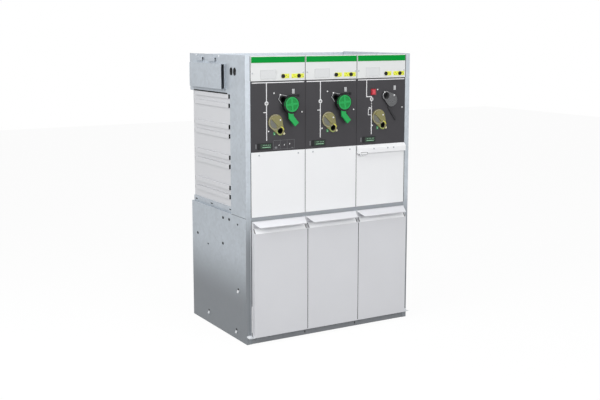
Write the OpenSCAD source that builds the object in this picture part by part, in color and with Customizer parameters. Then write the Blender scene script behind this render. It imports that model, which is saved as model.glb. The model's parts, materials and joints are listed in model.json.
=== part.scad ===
// Ring main unit with three functions side by side: two ring switches and one circuit breaker.
// The origin is on the floor at the centre of the cabinet's footprint. The front faces -Y, +Z is up.

/* [Cabinet] */
// Width of one function
unit_pitch = 330; // [315:5:400]
// Width of the side panels' front flange
side_flange = 30; // [26:1:40]
// Depth of the cabinet
body_d = 690; // [660:10:800]
// Thickness of the folded steel sheet
sheet = 2; // [1.5:0.5:3]
// Depth of the folded lips behind the front flanges
lip_d = 25; // [15:1:30]
// Width of the rear flanges of the lower side panels
rear_flange = 25; // [15:1:40]
// Height of the base frame
plinth_h = 43; // [36:1:80]
// Height of the cable compartments
cable_h = 631; // [600:5:750]
// Height of the cross rail above the doors
rail_h = 16; // [12:1:30]
// Height of the middle covers
mid_h = 345; // [300:5:450]
// Height of the mimic panels
mimic_h = 371; // [360:1:450]
// Height of the header covers
header_h = 129; // [115:1:180]
// How far the side panels rise above the header covers
top_lip = 5; // [3:1:15]
// How far the top plate lies below the side panels' top
top_drop = 30; // [20:1:60]
// Depth of the mechanism compartment
mech_d = 177; // [165:1:220]
// How far the lower side panels stop below the rail's top
seam_drop = 4; // [2:1:10]
// Width of the posts between the cable compartments
post_w = 24; // [16:1:40]

/* [Covers] */
// Gap between neighbouring covers and from them to the side panels
cover_gap = 0.8; // [0.4:0.1:0.9]
// Depth of the covers' folded edges
cover_return = 18; // [10:1:22]
// Height of the green band
band_h = 31; // [15:1:50]
// Distance of the green band below the header's top
band_drop = 4; // [2:1:15]
// Thickness of the stuck-on bands and strips
strip_t = 0.8; // [0.5:0.1:1.5]
// Outside diameter of the capped test sockets
test_socket_d = 21; // [16:1:24]
// How far the visor stands out of the third middle cover
visor_out = 16; // [8:1:30]
// Height of the visor
visor_h = 44; // [30:1:70]

/* [Base] */
// Width of the base frame's channels
channel_w = 50; // [40:1:80]
// Wall of the base frame's channels
channel_wall = 3; // [2:0.5:5]
// Diameter of the floor fixing holes
fix_hole_d = 14; // [10:0.5:18]
// Distance between the floor fixing holes from front to back
fix_pitch_y = 560; // [400:10:600]

/* [Tank] */
// Wall of the tank
tank_wall = 3; // [2:0.5:5]
// How far the tank's sides lie behind the side panels
tank_recess = 18; // [15:1:30]
// Height of the section above the tank
crown_h = 210; // [190:5:260]
// Height of the tank's lower box that carries the bushings
lower_box_h = 250; // [220:5:300]
// How far the lower box lies behind the tank's front wall
lower_box_setback = 208; // [180:1:240]
// Height of one stiffener
rib_h = 24; // [16:1:30]
// How far a stiffener stands out of the tank
rib_out = 13; // [8:1:14]
// Distance between the two stiffeners of a pair
rib_pair = 50; // [40:1:70]
// Distance between pairs of stiffeners
rib_pitch = 165; // [150:1:170]
// Distance between the phases of a function
phase_pitch = 90; // [80:1:100]
// Largest diameter of a cable bushing's cone
bushing_d = 70; // [56:1:76]
// Length of a cable bushing's cone
bushing_l = 90; // [70:1:110]

/* [End box] */
// How far the busbar end box stands out of the left side
end_box_out = 28; // [15:1:40]
// Length of the busbar end box
end_box_l = 410; // [300:10:450]
// Height of the busbar end box
end_box_h = 134; // [100:1:150]

/* [Doors] */
// How far the doors stand in front of the flanges
door_out = 30; // [24:1:45]
// Thickness of the door's sheet
door_sheet = 1.5; // [1:0.1:2]
// Gap from a door's edge to its unit line
door_side_gap = 2; // [1:0.5:5]
// How far the hood reaches in front of the flanges
hood_out = 57; // [50:1:70]
// How far the hood slopes down
hood_drop = 25; // [15:1:40]
// How far the hood's front corners are drawn in
hood_inset = 21; // [10:1:40]
// Height of the sloping band under the hood
grip_band_h = 30; // [20:1:45]
// Depth of the recess behind the hood
grip_depth = 22; // [15:1:23]
// Height of the recess behind the hood
grip_h = 33; // [25:1:45]

/* [Operating handles] */
// Main axis from the function's left line
main_x = 230; // [215:1:240]
// Main axis above the mimic panel's lower edge
main_z = 246; // [236:1:256]
// Diameter of the handle's disc
hub_d = 84; // [70:1:90]
// How far the green disc stands in front of the panel
hub_out = 33; // [26:1:45]
// Thickness of the green disc
hub_t = 8; // [6:1:12]
// Width of the handle's grip
grip_w = 28; // [20:1:32]
// Thickness of the handle's grip
grip_t = 16; // [12:1:20]
// Diameter of the handle's shaft
shaft_d = 16; // [12:1:20]
// Thickness of the guard plates
guard_t = 4; // [3:0.5:6]

/* [Earthing selectors] */
// Selector axis from the function's left line
sel_x = 146; // [135:1:155]
// Selector axis above the mimic panel's lower edge
sel_z = 154; // [145:1:162]
// Diameter of the selector's disc
sel_d = 84; // [70:1:90]
// Thickness of the selector's plate
sel_t = 6; // [4:0.5:8]
// Diameter of the selector's shaft
sel_shaft_d = 10; // [8:1:12]
// Outside diameter of the lever sockets
socket_d = 34; // [28:1:38]
// Depth of the lever sockets
socket_depth = 32; // [20:1:36]

/* [Indicators] */
// Diameter of the position indicators
flag_d = 14; // [10:1:18]
// Width of the voltage indicators
indicator_w = 87; // [70:1:95]
// Height of the voltage indicators
indicator_h = 33; // [25:1:40]
// Width of the trip button
button_w = 30; // [20:1:34]
// Height of the trip button
button_h = 34; // [20:1:38]
// How far the trip button stands out of the panel
button_out = 8; // [6:0.5:12]

/* [Fits] */
// Clearance between moving pieces and their neighbours
part_gap = 0.4; // [0.3:0.1:0.8]
// Radial clearance of the shafts in their bores
shaft_play = 0.05; // [0.02:0.01:0.1]
// Radial clearance of fixed round pieces in their holes
seat_gap = 0.1; // [0.05:0.05:0.3]

/* [Hidden] */
$fn = 48;
// How far a cut runs past the face that it opens
cut = 1;
// How far the pieces of one solid run into each other
weld = 1;
UNITS = 3;
PHASES = 3;
BREAKER = 2;
body_w = UNITS * unit_pitch + 2 * side_flange;
half_w = body_w / 2;
front = -body_d / 2;
back = body_d / 2;
rail_z = plinth_h + cable_h;
mid_z = rail_z + rail_h;
mimic_z = mid_z + mid_h;
header_z = mimic_z + mimic_h;
header_top = header_z + header_h;
body_h = header_top + top_lip;
lower_h = mid_z - seam_drop;
mech_back = front + mech_d;
base_back = back - 2 * sheet;
tank_x = half_w - tank_recess;
tank_top = body_h - crown_h;
box_z = mid_z - lower_box_h;
box_y = mech_back + lower_box_setback;
tank_seat = 27;
flange_in = tank_recess + tank_seat;

// Colours
galvanised = "#b9c3cd";
tank_steel = "#cdced2";
white_paint = "#ecedef";
door_grey = "#d4d5d9";
panel_grey = "#4c4b4e";
dark_grey = "#747679";
green = "#12a045";
black = "#1e1f21";
yellow = "#e6ea3c";
copper = "#b87333";

// Door ledge and doors
ledge_drop = 1;
ledge_z = plinth_h - ledge_drop;
ledge_ear_h = 8;
door_lift = 0.5;
door_z = ledge_z + door_lift;
door_top_gap = 6;
door_top = rail_z - door_top_gap;
door_face = front - door_out;
door_back = front - part_gap;
band_top = door_top - grip_h;
band_bottom = band_top - grip_band_h;
hood_t = 2.5;
hood_side = 0.5;
hood_lip = 3;
slit_w = 5;
slit_set = 4;
slit_rim = 3;

// Base fixings
fix_x = half_w - sheet - channel_w / 2;
access_room = 14;
access_hole_d = fix_hole_d + access_room;

// Busbar end box
end_box_rise = 26;
end_box_set = 48;
end_box_z = tank_top + end_box_rise;
end_box_y = mech_back + end_box_set;
end_sill = 9;
end_tab_out = 9;
end_tab_h = 22;
end_tab_l = 80;
end_tab_pitch = 160;
end_tab_gap = 10;
end_tab_set = 120;
end_tab_y = end_box_y + end_tab_set;

// Drive units behind the mimic panels
drive_gap = 45;
drive_front = front + drive_gap;
drive_t = 4;
drive_setback = 24;
drive_back = mech_back - drive_setback;
drive_x = [60, 320];
drive_margin = [60, 51];
drive_z = [drive_margin[0], mimic_h - drive_margin[1]];
drive_post_d = 14;
drive_post_inset = 12;
spring_d = 80;
spring_l = 60;
crank_d = 50;
crank_t = 10;

// Main guard: the tail points up and to the left of the main axis
guard_rim = 2;
guard_r = hub_d / 2 + guard_rim;
guard_tail = [-38, 26];
tail_r = 24;
guard_corners = [[-10, 38], [-56, 54], [-68, 28], [-40, -6]];
flank_inset = 0.4;
clear_r = 37;
clear_out = 12;
collar_wall = 3;
drum_rim = 1;
drum_r = hub_d / 2 + drum_rim;
hasp_l = 62;
hasp_w = 5;
hasp_block = [12, 14];
bush_wall = 4;
bush_flange = 4;
bush_t = 3;
cup_wall = 3;

// Handles: the grip starts inside the disc and bends to the right
grip_root = 6;
grip_start = [-6, -hub_d / 2 + grip_root];
grip_bend = grip_start + [2, -30];
grip_reach = [35, -41];
grip_end = grip_bend + grip_reach;
grip_step = 1;
grip_back = grip_end - grip_step * grip_reach / norm(grip_reach);
dimple_d = 15;
dimple_depth = 2.5;
dimple_r = 23;
notch_d = 11;
notch_turns = [-22, 8, 38];
lever_hub_d = 44;
lever_w = 12;
lever_path = [[-8, -12], [-15, -44], [33, -112]];

// Earthing selector: the tail points down and to the right of the selector axis
sel_tail = [28, -47];
sel_tail_rim = 7;
sel_window_rim = 1;
sel_window_d = socket_d - 2 * sel_window_rim;
sel_bar = [56, 14, 6];
sel_bar_turn = 45;
socket_rim = 4;

// Position indicators and the trip button
flag_x = [95, 95, 100];
flag_z = 254;
flag_shaft_d = 5;
flag_out = 0.6;
flag_t = 1;
button_x = 109;
button_z = 294;
button_stem_d = 8;
button_rim = 3;
button_rim_t = 3;

// Voltage indicators and what the headers carry
indicator_x = 40;
indicator_z = 13;
indicator_bezel = 3;
indicator_body_d = 30;
indicator_rim = 4;
label_x = 57;
label_z = 9;
label_size = [96, 50];
label_border = 3;
label_t = 1.5;
strip_z = 12;
strip_h = 23;
strips = [[187, 45], [246, 76]];
test_socket_x = [194, 290];
test_socket_out = 5;
test_shank_d = 14;
band_x = [6, 3];
visor_inset = 3;
visor_drop = 1;
visor_slope_h = 15;
latch_x = 15;
latch_drop = 35;
latch_size = [52, 21];
latch_t = 3;
latch_border = 3;
latch_depth = 1.5;

// Side panel grommets and holes, measured back from the front and up from the floor
grommet_y = [118, 158];
grommet_drop = 87;
grommet_size = [26, 38];
grommet_rim = 2;
side_holes = [
    [101, 638], [204, 649], [281, 648], [282, 505],
    [476, 466], [616, 504], [100, 278], [477, 73]
];
side_hole_d = 9;
earth_hole = [125, 52];
earth_hole_d = 16;

// Inside the cable compartments and the tank
bushing_drop = 120;
bushing_z = mid_z - bushing_drop;
bushing_tip_d = 56;
bushing_flange_d = 86;
bushing_flange_t = 8;
bushing_neck_d = 50;
bushing_tail = 20;
contact_d = 16;
contact_l = 25;
clamp_rail_gap = 85;
clamp_rail_rise = 120;
clamp_rail_y = box_y - clamp_rail_gap;
clamp_rail_z = plinth_h + clamp_rail_rise;
clamp_rail_h = 40;
clamp_rail_d = 20;
clamp_rail_t = 2.5;
slot_gap = 1;
earth_bar_rise = 55;
earth_bar_z = plinth_h + earth_bar_rise;
earth_bar_h = 30;
earth_bar_t = 6;
earth_post_d = 16;
earth_post_l = 30;
earth_bar_end = 45;
bus_set = 70;
bus_pitch = (base_back - box_y - 2 * bus_set) / (PHASES - 1);
bus_y = [for (k = [0 : PHASES - 1]) box_y + bus_set + k * bus_pitch];
bus_drop = 150;
bus_z = tank_top - bus_drop;
bus_h = 40;
bus_t = 8;
bus_insulator_d = 40;
bus_insulator_l = 24;
bottle_d = 76;
bottle_l = 160;
bottle_drop = 60;
rod_d = 24;
rod_knuckle_d = 32;
rib_set = 30;
rib_end = 40;
rib_pairs = 4;

// Left line of a function, counted from 0
function unit_x(i) = -half_w + side_flange + i * unit_pitch;
// Place of a phase across the cabinet
function phase_x(i, k) = unit_x(i) + unit_pitch / 2 + (k - 1) * phase_pitch;

// A box from its lowest to its highest corner
module slab(low, high) {
    translate(low) cube(high - low);
}

// A profile in Y and Z drawn out along X
module along_x(x0, x1) {
    translate([x0, 0, 0]) rotate([90, 0, 90]) linear_extrude(x1 - x0) children();
}

// A profile in X and Z drawn out along Y
module along_y(y0, y1) {
    translate([0, y1, 0]) rotate([90, 0, 0]) linear_extrude(y1 - y0) children();
}

// A round bar along Y about the point x, z
module rod_y(x, z, d, y0, y1) {
    translate([x, y1, z]) rotate([90, 0, 0]) cylinder(d = d, h = y1 - y0);
}

// What is drawn on the left side, or its mirror image on the right
module sided(side) {
    if (side == "left") children();
    else mirror([1, 0, 0]) children();
}

// Two circles and the straight flanks between them, which lie a little inside their common tangents
module teardrop(r1, tail, r2) {
    turn = atan2(tail[1], tail[0]);
    spread = acos((r1 - r2) / norm(tail));
    up = [cos(turn + spread), sin(turn + spread)];
    down = [cos(turn - spread), sin(turn - spread)];
    h1 = r1 - flank_inset;
    h2 = r2 - flank_inset;
    circle(r1);
    translate(tail) circle(r2);
    polygon([h1 * up, tail + h2 * up, tail + h2 * down, h1 * down]);
}

// A flat bar from one point to the next
module bar_2d(p, q, w) {
    d = q - p;
    translate(p) rotate(atan2(d[1], d[0])) translate([0, -w / 2]) square([norm(d), w]);
}

// An upright slot with round ends, w wide and h high
module slot_2d(w, h) {
    square([w, h - w], center = true);
    for (s = [-1, 1]) translate([0, s * (h - w) / 2]) circle(d = w);
}

// A shallow tray that opens to the back, as a cover folded from one sheet
module folded_cover(low, high, depth, t) {
    difference() {
        slab([low[0], front, low[1]], [high[0], front + depth, high[1]]);
        slab([low[0] + t, front + t, low[1] + t], [high[0] - t, front + depth + cut, high[1] - t]);
    }
}

// Base frame of inward channels with the floor fixings in the lower flanges
module base_frame() {
    x = half_w - sheet;
    y = base_back;
    w = channel_wall;
    color(galvanised) difference() {
        slab([-x, -y, 0], [x, y, plinth_h]);
        slab([-x + channel_w, -y + channel_w, -cut], [x - channel_w, y - channel_w, plinth_h + cut]);
        slab([-x + w, -y + w, w], [x - w, y - w, plinth_h - w]);
        for (sx = [-1, 1], sy = [-1, 1]) translate([sx * fix_x, sy * fix_pitch_y / 2, 0]) {
            translate([0, 0, -cut]) cylinder(d = fix_hole_d, h = w + 2 * cut);
            translate([0, 0, plinth_h - w - cut]) cylinder(d = access_hole_d, h = w + 2 * cut);
        }
    }
}

module kick_plate() {
    x = half_w - sheet;
    color(dark_grey) slab([-x, front + sheet, 0], [x, front + 2 * sheet, plinth_h]);
}

// Shelf that carries the doors, with an upturned ear at each end
module door_ledge() {
    x = half_w - side_flange - part_gap;
    color(galvanised) {
        slab([-half_w, door_face + sheet, ledge_z - sheet], [half_w, front, ledge_z]);
        slab([-x, front, ledge_z - sheet], [x, front + sheet, ledge_z]);
        for (s = ["left", "right"]) sided(s)
            slab([-half_w, front - sheet, ledge_z], [-half_w + side_flange, front, ledge_z + ledge_ear_h]);
    }
}

// Plan of a folded side panel: front flange and lip, side wall, rear flange
module side_plan(y1, rear_w) {
    x = -half_w;
    polygon([
        [x + side_flange, front], [x, front], [x, y1], [x + rear_w, y1], [x + rear_w, y1 - sheet],
        [x + sheet, y1 - sheet], [x + sheet, front + sheet], [x + side_flange - sheet, front + sheet],
        [x + side_flange - sheet, front + lip_d], [x + side_flange, front + lip_d]
    ]);
}

module lower_side(side) {
    color(galvanised) sided(side) difference() {
        union() {
            linear_extrude(lower_h) side_plan(back, rear_flange);
            slab([-half_w + sheet / 2, mech_back, lower_h - sheet],
                [-half_w + tank_recess, base_back, lower_h]);
        }
        slab([-half_w + side_flange - sheet - cut, front + sheet, -cut],
            [-half_w + side_flange + cut, front + lip_d + cut, plinth_h]);
        for (p = side_holes) side_hole(p, side_hole_d);
        side_hole(earth_hole, earth_hole_d);
    }
}

module side_hole(p, d) {
    translate([-half_w - cut, front + p[0], p[1]]) rotate([0, 90, 0])
        cylinder(d = d, h = sheet + 2 * cut);
}

module lower_rear_panel() {
    x = half_w - sheet;
    color(galvanised) slab([-x, base_back, plinth_h], [x, base_back + sheet, lower_h]);
}

// Walls between the cable compartments, each with a post that the doors close on
module partitions() {
    color(galvanised) for (i = [1 : UNITS - 1]) difference() {
        union() {
            along_x(unit_x(i) - sheet / 2, unit_x(i) + sheet / 2) polygon([
                [front + sheet, plinth_h], [base_back, plinth_h], [base_back, box_z], [box_y, box_z],
                [box_y, rail_z], [front + sheet, rail_z]
            ]);
            slab([unit_x(i) - post_w / 2, front, plinth_h],
                [unit_x(i) + post_w / 2, front + sheet, rail_z]);
        }
        along_x(unit_x(i) - sheet, unit_x(i) + sheet) {
            pass_slot(clamp_rail_y, clamp_rail_z, clamp_rail_d, clamp_rail_h);
            pass_slot(base_back - earth_post_l - earth_bar_t, earth_bar_z, earth_bar_t, earth_bar_h);
        }
    }
}

// Slot in Y and Z round a bar that is d deep and h high
module pass_slot(y, z, d, h) {
    translate([y - slot_gap, z - slot_gap]) square([d + 2 * slot_gap, h + 2 * slot_gap]);
}

// Section of a channel that opens to the back, in Y and Z
module channel_2d(y, z, d, h, t) {
    polygon([
        [y, z], [y, z + h], [y + d, z + h], [y + d, z + h - t], [y + t, z + h - t],
        [y + t, z + t], [y + d, z + t], [y + d, z]
    ]);
}

module cross_rail() {
    x = half_w - side_flange;
    color("#92979c") along_x(-x, x) channel_2d(front, rail_z, lip_d, rail_h, sheet);
}

// Floor between the cable compartments and the mechanism
module mech_floor() {
    x = half_w - side_flange;
    color(galvanised) slab([-x, front + lip_d, mid_z - sheet], [x, mech_back - sheet, mid_z]);
}

module mech_side(side) {
    color(galvanised) sided(side) difference() {
        translate([0, 0, lower_h]) linear_extrude(body_h - lower_h) side_plan(mech_back, flange_in);
        slab([-half_w + sheet, mech_back - sheet, tank_top],
            [-half_w + flange_in + cut, mech_back + cut, body_h + cut]);
        for (y = grommet_y) translate([-half_w - cut, front + y, body_h - grommet_drop])
            rotate([90, 0, 90]) linear_extrude(sheet + 2 * cut) slot_2d(grommet_size[0], grommet_size[1]);
    }
}

// Side view of the tank in Y and Z: the main vessel and the lower box behind the cables
module tank_2d(w) {
    polygon([
        [mech_back + w, tank_top - w], [base_back - w, tank_top - w], [base_back - w, box_z + w],
        [box_y + w, box_z + w], [box_y + w, mid_z + w], [mech_back + w, mid_z + w]
    ]);
}

module tank() {
    color(tank_steel) difference() {
        along_x(-tank_x, tank_x) tank_2d(0);
        along_x(-tank_x + tank_wall, tank_x - tank_wall) tank_2d(tank_wall);
        for (i = [0 : UNITS - 1], k = [0 : PHASES - 1])
            rod_y(phase_x(i, k), bushing_z, bushing_neck_d + 2 * seat_gap,
                box_y - cut, box_y + tank_wall + cut);
    }
}

// Pairs of channels welded along the tank's sides, with open ends
module tank_ribs() {
    x = -tank_x - rib_out;
    y = [mech_back + rib_set, base_back - rib_end];
    color(tank_steel) for (s = ["left", "right"]) sided(s) for (g = [0 : rib_pairs - 1], p = [0, 1]) {
        z = tank_top - rib_h - g * rib_pitch - p * rib_pair;
        difference() {
            slab([x, y[0], z], [-tank_x, y[1], z + rib_h]);
            slab([x + sheet, y[0] - cut, z + sheet], [-tank_x + cut, y[1] + cut, z + rib_h - sheet]);
        }
    }
}

// Side panel beside the busbar space above the tank
module upper_side(side) {
    color(galvanised) sided(side) along_y(mech_back, back) polygon([
        [-half_w, tank_top], [-half_w, body_h], [-half_w + sheet, body_h],
        [-half_w + sheet, tank_top + sheet], [-half_w + flange_in, tank_top + sheet],
        [-half_w + flange_in, tank_top]
    ]);
    if (side == "left") for (n = [0, 1]) end_tab(end_tab_y + n * end_tab_pitch);
}

// Pressed tab above the end box, open at its front end
module end_tab(y) {
    z = end_box_z + end_box_h + end_tab_gap;
    x = -half_w - end_tab_out;
    color(galvanised) difference() {
        slab([x, y, z], [-half_w + weld, y + end_tab_l, z + end_tab_h]);
        slab([x + sheet, y - cut, z + sheet], [-half_w, y + end_tab_l - sheet, z + end_tab_h - sheet]);
    }
}

module upper_rear_panel() {
    x = half_w - sheet;
    color(galvanised) slab([-x, back - sheet, tank_top + sheet], [x, back, body_h - top_lip]);
}

// Recessed top plate with an upstand behind the header covers
module top_plate() {
    x = half_w - sheet;
    z = body_h - top_drop;
    color(galvanised) {
        slab([-x, front + lip_d, z - sheet], [x, back - sheet, z]);
        slab([-x, front + lip_d, z], [x, front + lip_d + sheet, header_top]);
    }
}

// Cover over the busbar ends, open towards the front with a sill beside the wall
module busbar_end_box() {
    x = -half_w - end_box_out;
    y = end_box_y;
    z = end_box_z;
    color(galvanised) difference() {
        slab([x, y, z], [-half_w, y + end_box_l, z + end_box_h]);
        slab([x + sheet, y + sheet, z + sheet],
            [-half_w + cut, y + end_box_l - sheet, z + end_box_h - sheet]);
        slab([x + sheet, y - cut, z + sheet],
            [-half_w - end_sill, y + sheet + cut, z + end_box_h - sheet]);
    }
}

module grommets() {
    rim = 2 * grommet_rim;
    color(black) for (s = ["left", "right"], y = grommet_y) sided(s)
        translate([-half_w, front + y, body_h - grommet_drop]) rotate([90, 0, 90]) {
            linear_extrude(sheet) slot_2d(grommet_size[0] - 2 * seat_gap, grommet_size[1] - 2 * seat_gap);
            translate([0, 0, -grommet_rim])
                linear_extrude(grommet_rim) slot_2d(grommet_size[0] + rim, grommet_size[1] + rim);
        }
}

module header_cover(i) {
    x = unit_x(i);
    z = header_z + strip_z + strip_h / 2;
    color(white_paint) difference() {
        folded_cover([x + cover_gap, header_z], [x + unit_pitch - cover_gap, header_top],
            cover_return, sheet);
        for (sx = test_socket_x)
            rod_y(x + sx, z, test_shank_d + 2 * seat_gap, front - cut, front + sheet + cut);
    }
}

module green_bands() {
    z = header_top - band_drop;
    color(green) for (i = [0 : UNITS - 1])
        slab([unit_x(i) + band_x[0], front - strip_t, z - band_h],
            [unit_x(i) + unit_pitch - band_x[1], front, z]);
}

module label_holders() {
    b = label_border;
    color(white_paint) for (i = [0 : UNITS - 1]) translate([unit_x(i) + label_x, 0, header_z + label_z])
        difference() {
            slab([0, front - label_t, 0], [label_size[0], front, label_size[1]]);
            slab([b, front - label_t - cut, b], [label_size[0] - b, front + cut, label_size[1] - b]);
        }
}

module socket_strips() {
    z = header_z + strip_z;
    color(yellow) for (i = [0 : UNITS - 1], n = [0, 1]) difference() {
        slab([unit_x(i) + strips[n][0], front - strip_t, z],
            [unit_x(i) + strips[n][0] + strips[n][1], front, z + strip_h]);
        rod_y(unit_x(i) + test_socket_x[n], z + strip_h / 2, test_shank_d + 2 * seat_gap,
            front - strip_t - cut, front + cut);
    }
}

// Capped voltage test sockets: a round cap on a shank through the cover
module test_sockets() {
    z = header_z + strip_z + strip_h / 2;
    color(black) for (i = [0 : UNITS - 1], sx = test_socket_x) {
        rod_y(unit_x(i) + sx, z, test_socket_d, front - strip_t - test_socket_out, front - strip_t);
        rod_y(unit_x(i) + sx, z, test_shank_d, front - strip_t, front + cover_return);
    }
}

// Place of a function's lever socket, in the tail of its guard
function main_socket(i) = [unit_x(i) + main_x + guard_tail[0], mimic_z + main_z + guard_tail[1]];
// Place of a function's earthing socket, in the tail of its selector
function earth_socket_at(i) = [unit_x(i) + sel_x + sel_tail[0], mimic_z + sel_z + sel_tail[1]];

module mimic_panel(i) {
    x = unit_x(i);
    z = mimic_z;
    y0 = front - cut;
    y1 = front + sheet + cut;
    e = earth_socket_at(i);
    m = main_socket(i);
    color(panel_grey) difference() {
        folded_cover([x + cover_gap, z], [x + unit_pitch - cover_gap, header_z], cover_return, sheet);
        rod_y(x + main_x, z + main_z, shaft_d + 2 * (bush_wall + seat_gap), y0, y1);
        rod_y(x + sel_x, z + sel_z, sel_shaft_d + 2 * (bush_wall + seat_gap), y0, y1);
        rod_y(x + flag_x[i], z + flag_z, flag_d + 2 * part_gap, y0, y1);
        rod_y(e[0], e[1], socket_d + 2 * seat_gap, y0, y1);
        slab([x + indicator_x + indicator_rim - seat_gap, y0, z + indicator_z + indicator_rim - seat_gap],
            [x + indicator_x + indicator_w - indicator_rim + seat_gap, y1,
            z + indicator_z + indicator_h - indicator_rim + seat_gap]);
        rod_y(m[0], m[1], socket_d + 2 * seat_gap, y0, y1);
        if (i == BREAKER)
            slab([x + button_x - button_w / 2 - part_gap, y0, z + button_z - button_h / 2 - part_gap],
                [x + button_x + button_w / 2 + part_gap, y1, z + button_z + button_h / 2 + part_gap]);
    }
}

module mid_cover(i) {
    x = unit_x(i);
    color(white_paint)
        folded_cover([x + cover_gap, mid_z], [x + unit_pitch - cover_gap, mimic_z], cover_return, sheet);
}

// Folded visor at the top of the breaker's middle cover, with a latch plate at its left end
module visor() {
    x = unit_x(BREAKER);
    y = front - visor_out;
    top = mimic_z - visor_drop;
    fold = top - visor_slope_h;
    color(white_paint) {
        along_x(x + visor_inset, x + unit_pitch - cover_gap) polygon([
            [front, top], [y, fold], [y, top - visor_h], [y + sheet, top - visor_h],
            [y + sheet, fold - sheet], [front, fold - sheet]
        ]);
        translate([x + latch_x, y, mimic_z - latch_drop - latch_size[1]]) difference() {
            slab([0, -latch_t, 0], [latch_size[0], weld, latch_size[1]]);
            slab([latch_border, -latch_t - cut, latch_border],
                [latch_size[0] - latch_border, -latch_t + latch_depth, latch_size[1] - latch_border]);
        }
    }
}

module voltage_indicators() {
    r = indicator_rim;
    color(black) for (i = [0 : UNITS - 1]) translate([unit_x(i) + indicator_x, 0, mimic_z + indicator_z]) {
        slab([0, front - indicator_bezel, 0], [indicator_w, front, indicator_h]);
        slab([r, front, r], [indicator_w - r, front + indicator_body_d, indicator_h - r]);
    }
}

// Outline of a guard: the clear one is a teardrop, the black ones have a square tail
module guard_2d(clear) {
    if (clear) teardrop(clear_r, guard_tail, tail_r);
    else {
        circle(guard_r);
        polygon(guard_corners);
    }
}

// Guard behind a handle, with the lever socket in its tail.
// The breaker's is a clear plate in front of the lever, the others are black plates with a drum and a hasp
module lever_guard(i) {
    x = unit_x(i) + main_x;
    z = mimic_z + main_z;
    m = main_socket(i);
    out = i == BREAKER ? clear_out : guard_t;
    color(i == BREAKER ? "#9a9c9e" : black) difference() {
        union() {
            translate([x, 0, z]) along_y(front - out, front - out + guard_t)
                guard_2d(i == BREAKER);
            rod_y(m[0], m[1], socket_d + 2 * collar_wall, front - out + guard_t - weld, front);
            rod_y(m[0], m[1], socket_d, front - weld, front + socket_depth + cup_wall);
            if (i != BREAKER) translate([x, 0, z]) guard_drum();
        }
        rod_y(m[0], m[1], socket_d - 2 * cup_wall, front - hub_out, front + socket_depth);
        if (i != BREAKER) rod_y(x, z, shaft_d + 2 * part_gap, front - hub_out, front + cut);
    }
}

// Drum that the green handle turns on, and the hasp above it
module guard_drum() {
    bar_z = guard_r + hasp_w / 2 - weld;
    rod_y(0, 0, 2 * drum_r, front - hub_out + hub_t + part_gap, front - guard_t + weld);
    along_y(front - guard_t, front) {
        bar_2d([0, bar_z], [hasp_l, bar_z], hasp_w);
        translate([hasp_l - hasp_block[0], guard_r - hasp_block[1] / 2]) square(hasp_block);
    }
}

// Earthing lever socket, held by its rim behind the panel
module earth_socket(i) {
    e = earth_socket_at(i);
    color(black) {
        difference() {
            union() {
                rod_y(e[0], e[1], socket_d, front, front + socket_depth + cup_wall);
                rod_y(e[0], e[1], socket_d + 2 * socket_rim, front + sheet, front + sheet + bush_t);
            }
            rod_y(e[0], e[1], socket_d - 2 * cup_wall, front - cut, front + socket_depth);
        }
    }
}

// Flanged bush behind the panel, at the shaft's running clearance
module bush(x, z, d) {
    difference() {
        union() {
            rod_y(x, z, d + 2 * bush_wall, front, front + sheet);
            rod_y(x, z, d + 2 * (bush_wall + bush_flange), front + sheet, front + sheet + bush_t);
        }
        rod_y(x, z, d + 2 * shaft_play, front - cut, front + sheet + bush_t + cut);
    }
}

module shaft_bushes() {
    color("#c9b072") for (i = [0 : UNITS - 1]) {
        bush(unit_x(i) + main_x, mimic_z + main_z, shaft_d);
        bush(unit_x(i) + sel_x, mimic_z + sel_z, sel_shaft_d);
    }
}

// Two plates on posts off the tank, a spring drum, and bores for the three shafts
module drive_units() {
    color(dark_grey) for (i = [0 : UNITS - 1]) {
        x = unit_x(i);
        z = mimic_z;
        y0 = drive_front - cut;
        y1 = drive_front + drive_t + cut;
        inset = drive_post_inset;
        difference() {
            union() {
                for (y = [drive_front, drive_back])
                    slab([x + drive_x[0], y, z + drive_z[0]],
                        [x + drive_x[1], y + drive_t, z + drive_z[1]]);
                for (px = [drive_x[0] + inset, drive_x[1] - inset])
                    for (pz = [drive_z[0] + inset, drive_z[1] - inset])
                        rod_y(x + px, z + pz, drive_post_d, drive_front, mech_back);
                rod_y(x + main_x, z + main_z, spring_d, drive_back - spring_l, drive_back);
            }
            rod_y(x + main_x, z + main_z, shaft_d + 2 * shaft_play, drive_front - cut, mech_back);
            rod_y(x + sel_x, z + sel_z, sel_shaft_d + 2 * shaft_play, y0, y1);
            rod_y(x + flag_x[i], z + flag_z, flag_shaft_d + 2 * shaft_play, y0, y1);
            rod_y(x + button_x, z + button_z, button_stem_d + 2 * part_gap, y0, y1);
        }
    }
}

// Cone bushings on the lower box, pointing to the front
module cable_bushings() {
    f = bushing_flange_t;
    tip = f + bushing_l;
    tail = -tank_wall - bushing_tail;
    color("#8a4b32") for (i = [0 : UNITS - 1], k = [0 : PHASES - 1])
        translate([phase_x(i, k), box_y, bushing_z]) rotate([90, 0, 0]) rotate_extrude() polygon([
            [0, tail], [bushing_neck_d / 2, tail], [bushing_neck_d / 2, 0], [bushing_flange_d / 2, 0],
            [bushing_flange_d / 2, f], [bushing_d / 2, f], [bushing_tip_d / 2, tip],
            [contact_d / 2, tip], [contact_d / 2, tip - contact_l], [0, tip - contact_l]
        ]);
}

// One bar per phase, held by an insulator at each end of the tank
module busbars() {
    x = tank_x - tank_wall - bus_insulator_l;
    color(copper) for (y = bus_y) {
        slab([-x, y - bus_t / 2, bus_z], [x, y + bus_t / 2, bus_z + bus_h]);
        for (s = ["left", "right"]) sided(s) translate([-x - bus_insulator_l, y, bus_z + bus_h / 2])
            rotate([0, 90, 0]) cylinder(d = bus_insulator_d, h = bus_insulator_l);
    }
}

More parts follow.
